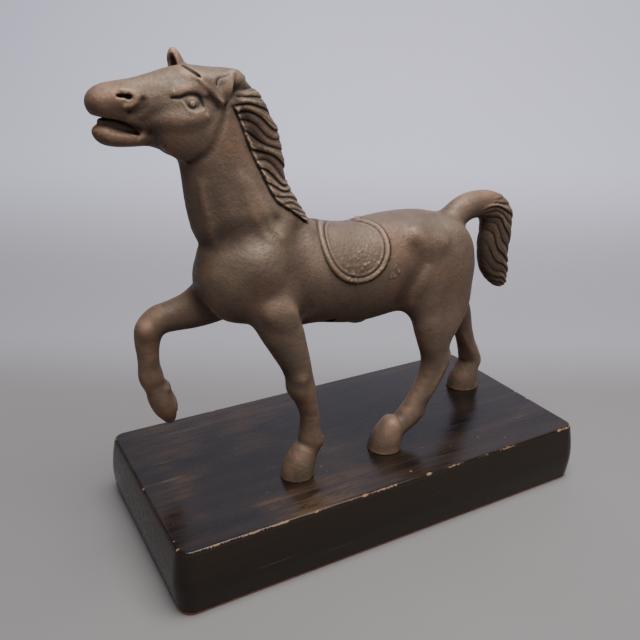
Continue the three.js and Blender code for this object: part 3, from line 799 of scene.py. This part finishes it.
def sculpt(step):
    """The whole horse, its masses on a coarse grid and its details on one of `step` millimetres."""
    random = np.random.default_rng(7)
    clay = rough_horse(2 * step)
    soft_forms(clay)
    clay.smooth(2)
    fine = clay.refined()
    fine.smooth(2)
    add_hooves(fine)
    add_ears(fine)
    add_mane(fine, random)
    add_tail(fine, random)
    add_saddle(fine, random)
    add_face(fine)
    return fine


# ---- From clay to a mesh ----

CORNERS = list(np.ndindex(2, 2, 2))


def surface_of(clay):
    """Vertices and quads of the clay's skin: one vertex in each cell that the skin crosses."""
    inside = clay.d < 0
    cells = np.array(inside.shape) - 1
    count = np.zeros(cells, np.uint8)
    for i, j, k in CORNERS:
        count += inside[i:i + cells[0], j:j + cells[1], k:k + cells[2]]
    cell = np.argwhere((count > 0) & (count < 8))
    index = np.full(cells, -1, np.int32)
    index[tuple(cell.T)] = np.arange(len(cell))
    value = {corner: clay.d[tuple((cell + corner).T)] for corner in CORNERS}
    total = np.zeros((len(cell), 3))
    crossings = np.zeros(len(cell))
    for corner in CORNERS:
        for axis in range(3):
            if corner[axis]:
                continue
            a, b = value[corner], value[tuple(np.array(corner) + np.eye(3, dtype=int)[axis])]
            crossed = (a < 0) != (b < 0)
            t = np.where(crossed, a / np.where(crossed, a - b, 1), 0)
            total += (np.array(corner) + np.eye(3)[axis] * t[:, None]) * crossed[:, None]
            crossings += crossed
    points = clay.low + clay.step * (cell + total / crossings[:, None])
    quads = [quads_across(axis, inside, index) for axis in range(3)]
    return points, np.concatenate(quads)


def quads_across(axis, inside, index):
    """The quads round the grid edges along one axis that the skin crosses."""
    cells = np.array(inside.shape) - 1
    here = [slice(1, n) for n in cells]
    there = list(here)
    here[axis] = slice(0, cells[axis])
    there[axis] = slice(1, cells[axis] + 1)
    a, b = inside[tuple(here)], inside[tuple(there)]
    edge = np.argwhere(a != b)
    outward = a[tuple(edge.T)]
    if axis == 1:
        outward = ~outward
    i, j = [np.eye(3, dtype=int)[k] for k in range(3) if k != axis]
    base = edge + i + j
    ring = [index[tuple((base - step).T)] for step in (i + j, j, 0 * i, i)]
    quads = np.stack(ring, axis=1)
    return np.where(outward[:, None], quads, quads[:, ::-1])

# ---- Pieces ----

def new_object(name, points, faces, body="root"):
    """A mesh object from points in millimetres."""
    mesh = bpy.data.meshes.new(name)
    mesh.from_pydata((np.array(points) * MM).tolist(), [], [list(face) for face in faces])
    mesh.update()
    piece = bpy.data.objects.new(name, mesh)
    bpy.context.scene.collection.objects.link(piece)
    if body:
        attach(piece, body)
    return piece


def paint(mesh, name, values):
    """Store a row of three numbers per vertex, for the material to read."""
    rows = np.ones((len(mesh.vertices), 4), np.float32)
    rows[:, :3] = 0.5
    rows[:len(values), :3] = values
    mesh.color_attributes.new(name, "FLOAT_COLOR", "POINT").data.foreach_set("color", rows.ravel())


class Joint:
    """A parting plane between the body and a member, with the tenon that crosses it.

    The plane passes through a point and faces another one. The corners hold the member.
    """

    def __init__(self, point, towards, low, high, radius, length):
        self.point = np.array(point, float)
        self.way = np.array(towards, float) - point
        self.way /= np.linalg.norm(self.way)
        self.low = low
        self.high = high
        self.radius = radius
        self.length = length

    def height(self, points):
        return (points - self.point) @ self.way

    def holds(self, points):
        return np.all((points > self.low) & (points < self.high), axis=1)


JOINTS = {
    "head_and_neck_casting": Joint(
        (74, MID, 199), (84, MID, 218), (25, -40, 180), (175, 60, 310), 11, 12,
    ),
    "tail_casting": Joint(
        (-83.5, MID, 196.3), (-92, MID, 198.5), (-150, -20, 127), (-70, 40, 220), 4.5, 8,
    ),
    "left_foreleg_casting": Joint(
        (60.5, 30, 130), (57, 30, 120), (25, MID, 35), (95, 60, 150), 5, 10,
    ),
    "right_foreleg_casting": Joint(
        (113.5, -13, 149.5), (124, -13.8, 147.2), (95, -40, 60), (160, MID, 175), 5, 10,
    ),
    "left_hindleg_casting": Joint(
        (-51, 29.6, 119.5), (-49.5, 30, 110), (-80, MID, 35), (10, 60, 135), 5.5, 10,
    ),
    "right_hindleg_casting": Joint(
        (-99, -13.7, 119.5), (-107, -15.4, 109), (-145, -40, 35), (-75, MID, 128), 5, 10,
    ),
}
TENON_SIDES = 32
TENON_FIT = 0.3


def parted(points, quads):
    """The casting that each quad belongs to. The edge between two castings is put on their plane."""
    centres = points[quads].mean(axis=1)
    owner = np.zeros(len(quads), int)
    for number, joint in enumerate(JOINTS.values(), 1):
        owner[joint.holds(centres) & (joint.height(centres) > 0)] = number
        shared = np.intersect1d(quads[owner == number], quads[owner != number])
        points[shared] -= joint.height(points[shared])[:, None] * joint.way
    return owner


def close_joint(bm, joint, depth, radius):
    """Fill the open end at a parting plane, with a round tenon or socket in its middle."""
    point = Vector(joint.point * MM)
    way = Vector(joint.way)
    rim = [
        edge for edge in bm.edges
        if edge.is_boundary and all(abs((v.co - point).dot(way)) < 1e-6 for v in edge.verts)
        and joint.holds(np.array([edge.verts[0].co]) / MM)[0]
    ]
    across = way.orthogonal().normalized()
    beside = way.cross(across)
    turns = [2 * math.pi * k / TENON_SIDES for k in range(TENON_SIDES)]
    ring = [
        bm.verts.new(point + (across * math.cos(a) + beside * math.sin(a)) * radius * MM) for a in turns
    ]
    circle = [bm.edges.new((ring[k - 1], ring[k])) for k in range(TENON_SIDES)]
    bmesh.ops.triangle_fill(bm, use_beauty=True, edges=rim + circle)
    end = [bm.verts.new(v.co - way * depth * MM) for v in ring]
    for k in range(TENON_SIDES):
        bm.faces.new((ring[k - 1], ring[k], end[k], end[k - 1]))
    bm.faces.new(end)


def casting(name, points, quads, normals, relief, joints):
    """One bronze casting cut out of the sculpted skin, closed at its joints."""
    used, faces = np.unique(quads, return_inverse=True)
    piece = new_object("sculpted_" + name, points[used], faces.reshape(quads.shape))
    bm = bmesh.new()
    bm.from_mesh(piece.data)
    for joint, depth, radius in joints:
        close_joint(bm, joint, depth, radius)
    bmesh.ops.recalc_face_normals(bm, faces=bm.faces)
    for face in bm.faces:
        face.smooth = True
    bm.to_mesh(piece.data)
    bm.free()
    paint(piece.data, "relief", relief[used])
    directions = np.zeros((len(piece.data.vertices), 3))
    directions[:len(used)] = normals[used]
    piece.data.normals_split_custom_set_from_vertices(directions)
    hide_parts(name)
    return piece


CLOSE_PASSES, CLOSE_GAIN = 4, 1.5
BROAD_PASSES, BROAD_GAIN, BROAD_LEVEL = 8, 0.9, 0.12


def measure_relief(clay, points):
    """How far each point stands proud, closely and broadly, and if it is hair.

    Half is level and one is a ridge.
    """
    close = Clay(clay.low, clay.low, clay.step)
    close.d = clay.d.copy()
    close.smooth(CLOSE_PASSES)
    broad = Clay(clay.low, clay.low, clay.step * 2)
    broad.d = clay.d[::2, ::2, ::2].copy()
    broad.smooth(BROAD_PASSES)
    relief = np.full((len(points), 3), 0.5)
    relief[:, 0] = np.clip(0.5 + close.at(points) * CLOSE_GAIN, 0, 1)
    relief[:, 1] = np.clip(0.5 + (broad.at(points) - BROAD_LEVEL) * BROAD_GAIN, 0, 1)
    relief[:, 2] = hair_at(points)
    return relief


SCULPT_STEP = 0.6


def make_horse():
    step = SCULPT_STEP
    clay = sculpt(step)
    points, quads = surface_of(clay)
    owner = parted(points, quads)
    normals = clay.outward(points)
    relief = measure_relief(clay, points)
    sockets = [(joint, joint.length + TENON_FIT, joint.radius + TENON_FIT) for joint in JOINTS.values()]
    pieces = [casting("body_casting", points, quads[owner == 0], normals, relief, sockets)]
    for number, (name, joint) in enumerate(JOINTS.items(), 1):
        tenon = [(joint, joint.length, joint.radius)]
        pieces.append(casting(name, points, quads[owner == number], normals, relief, tenon))
    return pieces


# The board is a pile of outlines, each let out or drawn in from the one at the top.

BOARD_CORNER = 8
BOARD_RIDGE = 17.6
BOARD_RIDGE_OUT = 3.3
BOARD_NECK = 31
BOARD_NECK_OUT = BOARD_RIDGE_OUT * 0.65
BOARD_FOOT_OUT = 1.8
BOARD_EDGE = 1.5
BOARD_SPACING = 1.2
TOP_INSETS = (2.5, 4, 6)


def rounded_outline(half_x, half_y, corner, spacing):
    """Points round a rectangle with round corners, and the outward direction at each."""
    straight_x = 2 * (half_x - corner)
    straight_y = 2 * (half_y - corner)
    points, ways = [], []
    sides = [straight_y, straight_x, straight_y, straight_x]
    centres = [(1, 1), (-1, 1), (-1, -1), (1, -1)]
    for k in range(4):
        angle = k * math.pi / 2
        way = np.array((math.cos(angle), math.sin(angle)))
        along_side = np.array((-way[1], way[0]))
        end = np.array(centres[k]) * (half_x - corner, half_y - corner) + way * corner
        count = round(sides[k] / spacing)
        for t in np.arange(count) / count:
            points.append(end - along_side * sides[k] * (1 - t))
            ways.append(way)
        bend = round(corner * math.pi / 2 / spacing)
        for t in np.arange(bend) / bend:
            turn = angle + t * math.pi / 2
            out = np.array((math.cos(turn), math.sin(turn)))
            points.append(end - way * corner + out * corner)
            ways.append(out)
    return np.array(points), np.array(ways)


def stack_faces(rings, count):
    """Quads between stacked outlines of `count` points each, and a lid on both ends."""
    faces = []
    for ring in range(rings - 1):
        for k in range(count):
            a, b = ring * count + k, ring * count + (k + 1) % count
            faces.append((a, b, b + count, a + count))
    faces.append(range(count - 1, -1, -1))
    faces.append(range((rings - 1) * count, rings * count))
    return faces


def board_profile():
    """Outset and height of each outline, from the underside up and over the top edge."""
    low, high = board_low[2] / MM, board_high[2] / MM
    side = smooth_path([
        (BOARD_FOOT_OUT, low), (BOARD_RIDGE_OUT, BOARD_RIDGE), (BOARD_NECK_OUT, BOARD_NECK), (0, high),
    ], 12)
    side = side[(side[:, 1] > low + BOARD_EDGE) & (side[:, 1] < high - BOARD_EDGE)]
    turn = np.linspace(0, math.pi / 2, 7)
    foot = np.stack([
        BOARD_FOOT_OUT - BOARD_EDGE * (1 - np.sin(turn)), low + BOARD_EDGE * (1 - np.cos(turn)),
    ], axis=1)
    head = np.stack([
        -BOARD_EDGE * (1 - np.cos(turn)), high - BOARD_EDGE * (1 - np.sin(turn)),
    ], axis=1)
    return np.vstack([foot, side, head])


def make_board(random):
    half = (np.array(board_high) - np.array(board_low))[:2] / MM / 2 - BOARD_RIDGE_OUT
    outline, ways = rounded_outline(half[0], half[1], BOARD_CORNER, BOARD_SPACING)
    profile = board_profile()
    inner = [(-inset, board_high[2] / MM) for inset in TOP_INSETS]
    rings = [
        np.column_stack([outline + ways * outset, np.full(len(outline), height)])
        for outset, height in np.vstack([profile, inner])
    ]
    count = len(outline)
    outward = np.tile(np.column_stack([ways, np.full(count, 0.8)]), (len(rings), 1))
    points, wear = chip_edges(np.concatenate(rings), outward, outline, ways, random)
    board = new_object("lacquered_board", points, stack_faces(len(rings), count))
    for face in board.data.polygons:
        face.use_smooth = True
    paint(board.data, "wear", np.tile(wear[:, None], 3))
    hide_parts("base_board")
    return board


CHIPS = 24
CHIP_SIZES = (0.6, 1.4)
CHIP_DEPTHS = (0.08, 0.3)
CHIP_STRETCH = 1.6
RUBBED_WIDTH = 0.9
RUBBED_AMOUNT = 0.75
RUBBED_LENGTH = 8
OTHER_EDGES = 0.45


def chip_edges(points, outward, outline, ways, random):
    """Rub the top edge and knock small chips out of it. Returns the points and how worn each is."""
    top = board_high[2] / MM
    spots = random.uniform(0, 1, len(outline) // RUBBED_LENGTH + 2)
    patches = np.repeat(spots, RUBBED_LENGTH)[:len(outline)]
    patches = np.convolve(np.tile(patches, 3), np.ones(9) / 9, "same")[len(outline):2 * len(outline)]
    patches = patches * np.where(ways[:, 1] > 0.5, 1, OTHER_EDGES)
    rubbed = np.tile(patches, len(points) // len(outline))
    edge = np.tile(outline - ways * 0.4, (len(points) // len(outline), 1))
    away = np.linalg.norm(points - np.column_stack([edge, np.full(len(points), top - 0.4)]), axis=1)
    wear = RUBBED_AMOUNT * rubbed * np.exp(-(away / RUBBED_WIDTH) ** 2)
    for _ in range(CHIPS):
        spot = random.integers(len(outline))
        place = np.append(outline[spot] - ways[spot] * 0.3, top - 0.3)
        size = random.uniform(*CHIP_SIZES)
        depth = random.uniform(*CHIP_DEPTHS)
        away = np.linalg.norm((points - place) / (size * CHIP_STRETCH, size, size), axis=1)
        dent = np.clip(1 - away ** 2, 0, 1)
        points = points - outward * (dent * depth)[:, None]
        wear = np.maximum(wear, np.clip(dent * 2.5, 0, 1))
    return points, wear


FELT_SPACING = 2.0
FELT_FRAY = 0.25
# How far up the felt each ring of its edge is, and how far in.
FELT_RINGS = [(0, 0.5), (0.1875, 0.1), (0.5, 0), (0.8125, 0.1), (1, 0.4)]


def make_felt(random):
    low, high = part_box("felt_sheet")
    half = (np.array(high) - np.array(low))[:2] / MM / 2
    outline, ways = rounded_outline(half[0], half[1], BOARD_CORNER, FELT_SPACING)
    thick = (high[2] - low[2]) / MM
    points = []
    for share, inset in FELT_RINGS:
        for spot, way, fray in zip(outline, ways, random.uniform(0, FELT_FRAY, len(outline))):
            points.append((*(spot - way * (inset + fray)), share * thick))
    felt = new_object("felt_underlay", points, stack_faces(len(FELT_RINGS), len(outline)))
    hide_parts("felt_sheet")
    return felt


# ---- Materials ----

class Look:
    """A node material while it is wired up. Values are numbers, colours or other nodes' outputs."""

    def __init__(self, name):
        self.material = bpy.data.materials.new(name)
        self.material.use_nodes = True
        self.nodes = self.material.node_tree.nodes
        self.shader = self.nodes["Principled BSDF"]
        self.place = self.node("ShaderNodeTexCoord").outputs["Object"]

    def join(self, value, socket):
        if isinstance(value, bpy.types.NodeSocket):
            self.material.node_tree.links.new(value, socket)
        elif isinstance(value, tuple) and len(value) == 3 and socket.type == "RGBA":
            socket.default_value = (*value, 1)
        else:
            socket.default_value = value

    def node(self, kind, inputs=None, **settings):
        node = self.nodes.new(kind)
        for key, value in settings.items():
            setattr(node, key, value)
        for key, value in (inputs or {}).items():
            self.join(value, node.inputs[key])
        return node

    def noise(self, scale, detail=4, rough=0.5, stretch=(1, 1, 1), twist=0):
        place = self.place
        if stretch != (1, 1, 1):
            place = self.node("ShaderNodeMapping", {"Vector": place, "Scale": stretch}).outputs[0]
        return self.node("ShaderNodeTexNoise", {
            "Vector": place, "Scale": scale, "Detail": detail, "Roughness": rough, "Distortion": twist,
        }).outputs[0]

    def ramp(self, value, low, high, to_low=0.0, to_high=1.0):
        return self.node("ShaderNodeMapRange", {
            "Value": value, "From Min": low, "From Max": high, "To Min": to_low, "To Max": to_high,
        }, interpolation_type="SMOOTHSTEP").outputs[0]

    def math(self, operation, a, b=0.0):
        return self.node("ShaderNodeMath", {0: a, 1: b}, operation=operation, use_clamp=False).outputs[0]

    def times(self, a, b):
        return self.math("MULTIPLY", a, b)

    def plus(self, a, b):
        return self.math("ADD", a, b)

    def mix(self, share, a, b):
        return self.node("ShaderNodeMix", {"Factor": share, 6: a, 7: b}, data_type="RGBA").outputs[2]

    def painted(self, name):
        colour = self.node("ShaderNodeAttribute", attribute_name=name).outputs["Color"]
        return self.node("ShaderNodeSeparateColor", {"Color": colour}).outputs

    def bump(self, height, depth, strength=1.0, under=None):
        inputs = {"Height": height, "Distance": depth, "Strength": strength}
        if under:
            inputs["Normal"] = under
        return self.node("ShaderNodeBump", inputs).outputs[0]

    def set(self, **values):
        for key, value in values.items():
            self.join(value, self.shader.inputs[key.replace("_", " ")])


LEVEL_RELIEF = (0.5, 0.5, 0.0)


def bronze_look(name, sculpted):
    """Brown patina, rubbed coppery on the swellings, gilt with a painted highlight on sharp ridges, darker
    patina with painted shade in broad hollows, and black in the grooves from patina and painted shade.
    """
    look = Look(name)
    close, broad, hair = look.painted("relief") if sculpted else LEVEL_RELIEF
    cloud = look.noise(38, 5, 0.6)
    tint = look.noise(26, 3, 0.5, stretch=(1, 1.3, 0.8), twist=0.4)
    fleck = look.noise(420, 4, 0.6)
    patina = look.mix(look.ramp(cloud, 0.35, 0.68), (0.1, 0.068, 0.05), (0.145, 0.098, 0.069))
    patina = look.mix(look.ramp(tint, 0.5, 0.7, 0, 0.55), patina, (0.165, 0.09, 0.058))
    patina = look.mix(look.ramp(tint, 0.48, 0.3, 0, 0.6), patina, (0.13, 0.098, 0.066))
    rubbed = look.times(look.ramp(broad, 0.52, 0.85), look.ramp(look.noise(85, 4), 0.35, 0.65))
    colour = look.mix(look.times(rubbed, 0.8), patina, (0.215, 0.125, 0.082))
    # Darker in broad hollows: darker patina together with painted shade.
    colour = look.mix(look.ramp(broad, 0.46, 0.25, 0, 0.3), colour, (0.055, 0.034, 0.026))
    colour = look.mix(look.times(hair, 0.6), colour, (0.045, 0.03, 0.022))
    # Gilt on sharp ridges: worn metal together with a painted highlight where the ridges would catch the
    # light.
    ridge = look.times(look.ramp(close, 0.58, 0.9), look.ramp(fleck, 0.3, 0.6))
    colour = look.mix(ridge, colour, (0.26, 0.18, 0.112))
    # Near black in fine grooves and creases: dark patina together with painted shade where they would lie in
    # shadow.
    colour = look.mix(look.ramp(close, 0.48, 0.22, 0, 0.92), colour, (0.014, 0.01, 0.008))
    colour = look.mix(look.ramp(fleck, 0.58, 0.76, 0, 0.55), colour, (0.025, 0.017, 0.013))
    rough = look.plus(look.ramp(cloud, 0.3, 0.7, 0.48, 0.58), look.ramp(fleck, 0.3, 0.7, -0.05, 0.1))
    skin = look.bump(look.noise(620, 5, 0.65), 0.0005, 0.6)
    skin = look.bump(look.noise(210, 4, 0.6), 0.001, 0.4, skin)
    look.set(Base_Color=colour, Metallic=0.3, Roughness=rough, Normal=skin, Specular_IOR_Level=0.34)
    return look.material


def wood_look():
    """Near-black stain under lacquer, rubbed brown in patches and tan where it is chipped."""
    look = Look("stained_wood")
    wear = look.painted("wear")[0]
    grain = look.noise(60, 6, 0.6, stretch=(0.1, 1.6, 1.6), twist=0.6)
    pores = look.noise(420, 3, 0.6, stretch=(0.05, 1, 1))
    streak = look.noise(300, 2, 0.4, stretch=(0.035, 1, 1))
    patch = look.noise(22, 4, 0.6, stretch=(0.6, 1, 1))
    fine_grain = look.noise(150, 6, 0.7, stretch=(0.14, 1.4, 1.4), twist=0.5)
    speck = look.noise(330, 2, 0.5, stretch=(0.5, 1, 1))
    place = look.node("ShaderNodeSeparateXYZ", {"Vector": look.place}).outputs
    front = look.ramp(place[1], 0.015, 0.06)
    head_end = look.ramp(place[0], -0.02, 0.07, 0, 0.88)
    on_top = look.ramp(place[2], board_high[2] - 0.0012, board_high[2] - 0.0004)
    handled = look.times(look.ramp(patch, 0.4, 0.66), look.plus(head_end, 0.12))
    inner = look.ramp(place[0], 0.146, 0.11, 0.3, 1)
    handled = look.times(handled, look.times(on_top, inner))
    bare = look.times(handled, look.ramp(fine_grain, 0.38, 0.64, 0.15, 1))
    colour = look.mix(look.ramp(grain, 0.35, 0.7), (0.006, 0.0045, 0.004), (0.014, 0.009, 0.0065))
    colour = look.mix(look.ramp(on_top, 1, 0, 0, 0.7), colour, (0.024, 0.017, 0.013))
    colour = look.mix(bare, colour, (0.062, 0.035, 0.018))
    scratch = look.times(look.ramp(streak, 0.7, 0.76), look.ramp(patch, 0.42, 0.6))
    colour = look.mix(look.times(scratch, 0.4), colour, (0.12, 0.075, 0.042))
    fleck = look.times(look.ramp(speck, 0.735, 0.76), look.times(front, on_top))
    torn = look.ramp(look.plus(wear, look.ramp(look.noise(900, 3), 0.3, 0.7, -0.22, 0.22)), 0.4, 0.55)
    colour = look.mix(look.math("MAXIMUM", torn, fleck), colour, (0.21, 0.125, 0.068))
    rough = look.plus(look.ramp(pores, 0.3, 0.7, 0.17, 0.3), look.ramp(bare, 0, 1, 0, 0.2))
    rough = look.plus(rough, look.times(torn, 0.4))
    end = board_high[0]
    along_grain = look.ramp(look.math("ABSOLUTE", place[0]), end - 0.003, end - 0.008, 0.08, 1)
    skin = look.bump(pores, 0.0002, look.times(along_grain, 0.3))
    skin = look.bump(grain, 0.0005, look.times(along_grain, 0.22), skin)
    look.set(Base_Color=colour, Roughness=rough, Normal=skin, Specular_IOR_Level=0.23)
    return look.material


def felt_look():
    look = Look("felt")
    wool = look.noise(900, 5, 0.7)
    colour = look.mix(look.ramp(wool, 0.3, 0.7), (0.09, 0.025, 0.015), (0.2, 0.06, 0.035))
    fuzz = look.bump(wool, 0.0006, 0.8)
    look.set(Base_Color=colour, Roughness=0.95, Normal=fuzz, Sheen_Weight=0.3)
    return look.material


def steel_look():
    look = Look("zinc_plated_steel")
    cloud = look.noise(300, 4)
    colour = look.mix(look.ramp(cloud, 0.3, 0.7), (0.42, 0.43, 0.45), (0.6, 0.61, 0.63))
    rough = look.ramp(look.noise(900, 3), 0.3, 0.7, 0.25, 0.45)
    skin = look.bump(look.noise(1200, 3), 0.0001, 0.3)
    look.set(Base_Color=colour, Metallic=1.0, Roughness=rough, Normal=skin)
    return look.material


def floor_look():
    look = Look("floor")
    cloud = look.noise(5, 3)
    x, y, height = look.node("ShaderNodeSeparateXYZ", {"Vector": look.place}).outputs
    # Painted shade and light on the backdrop: the floor darker near the statue and lighter further back, the
    # wall lighter and bluer as it rises.
    behind = look.plus(look.times(x, AWAY[0]), look.times(y, AWAY[1]))
    colour = look.mix(look.ramp(behind, 0.12, 0.28), (0.16, 0.153, 0.154), (0.255, 0.25, 0.275))
    colour = look.mix(look.ramp(height, 0, 0.13), colour, (0.475, 0.475, 0.59))
    colour = look.mix(look.ramp(cloud, 0.3, 0.7, 0, 0.06), colour, (0.3, 0.3, 0.32))
    look.set(Base_Color=colour, Roughness=0.7)
    return look.material


def dress(pieces, material):
    for piece in pieces:
        piece.data.materials.clear()
        piece.data.materials.append(material)


# ---- Floor and lights ----

WALL_AWAY = 760
WALL_BEND = 420
WALL_HEIGHT = 1800
FLOOR_REACH = 7000


def make_floor():
    """A floor that curves up into a plain wall behind the statue."""
    turn = np.linspace(0, math.pi / 2, 13)
    flat = WALL_AWAY - WALL_BEND
    bend = [(flat + WALL_BEND * math.sin(a), WALL_BEND * (1 - math.cos(a))) for a in turn]
    run = [(-FLOOR_REACH, 0), *bend, (WALL_AWAY, WALL_HEIGHT)]
    away = np.array(AWAY)
    side = np.array((away[1], -away[0]))
    points = [(*(away * d + side * w), h) for d, h in run for w in (-FLOOR_REACH, FLOOR_REACH)]
    faces = [(2 * k, 2 * k + 1, 2 * k + 3, 2 * k + 2) for k in range(len(run) - 1)]
    floor = new_object("floor", points, faces, body=None)
    for face in floor.data.polygons:
        face.use_smooth = True
    return floor


def area_light(name, place, target, size, power, colour=(1, 1, 1)):
    data = bpy.data.lights.new(name, "AREA")
    data.shape = "RECTANGLE"
    data.size, data.size_y = size
    data.energy = power
    data.color = colour
    light = bpy.data.objects.new(name, data)
    light.location = place
    light.rotation_euler = (Vector(target) - Vector(place)).to_track_quat("-Z", "Y").to_euler()
    bpy.context.scene.collection.objects.link(light)


def make_lights():
    area_light("overhead", (-0.06, 0.3, 1.22), (0, 0, 0.12), (1, 0.85), 32, (1, 0.98, 0.95))
    area_light("wall_wash", (-0.1, -0.28, 0.95), (-0.3, -1, 0.75), (1, 0.4), 3, (0.97, 0.98, 1))
    world = bpy.data.worlds.new("studio")
    world.use_nodes = True
    world.node_tree.nodes["Background"].inputs["Color"].default_value = (0.7, 0.7, 0.74, 1)
    world.node_tree.nodes["Background"].inputs["Strength"].default_value = 0.36
    bpy.context.scene.world = world


def main():
    random = np.random.default_rng(11)
    horse = make_horse()
    board = make_board(random)
    felt = make_felt(random)
    floor = make_floor()
    make_lights()
    nodes = {o.name: o for o in bpy.context.scene.objects}
    slots = {row["node"]: row["material_slot"] for row in frame["record"]["subparts"]}
    bronze = bronze_look("plain_bronze", sculpted=False)
    steel = steel_look()
    dress(horse, bronze_look("sculpted_bronze", sculpted=True))
    dress([board], wood_look())
    dress([felt], felt_look())
    dress([floor], floor_look())
    for plain_slot, material in (("bronze", bronze), ("steel", steel)):
        dress([nodes[name] for name, slot in slots.items() if slot == plain_slot and name in nodes], material)


main()
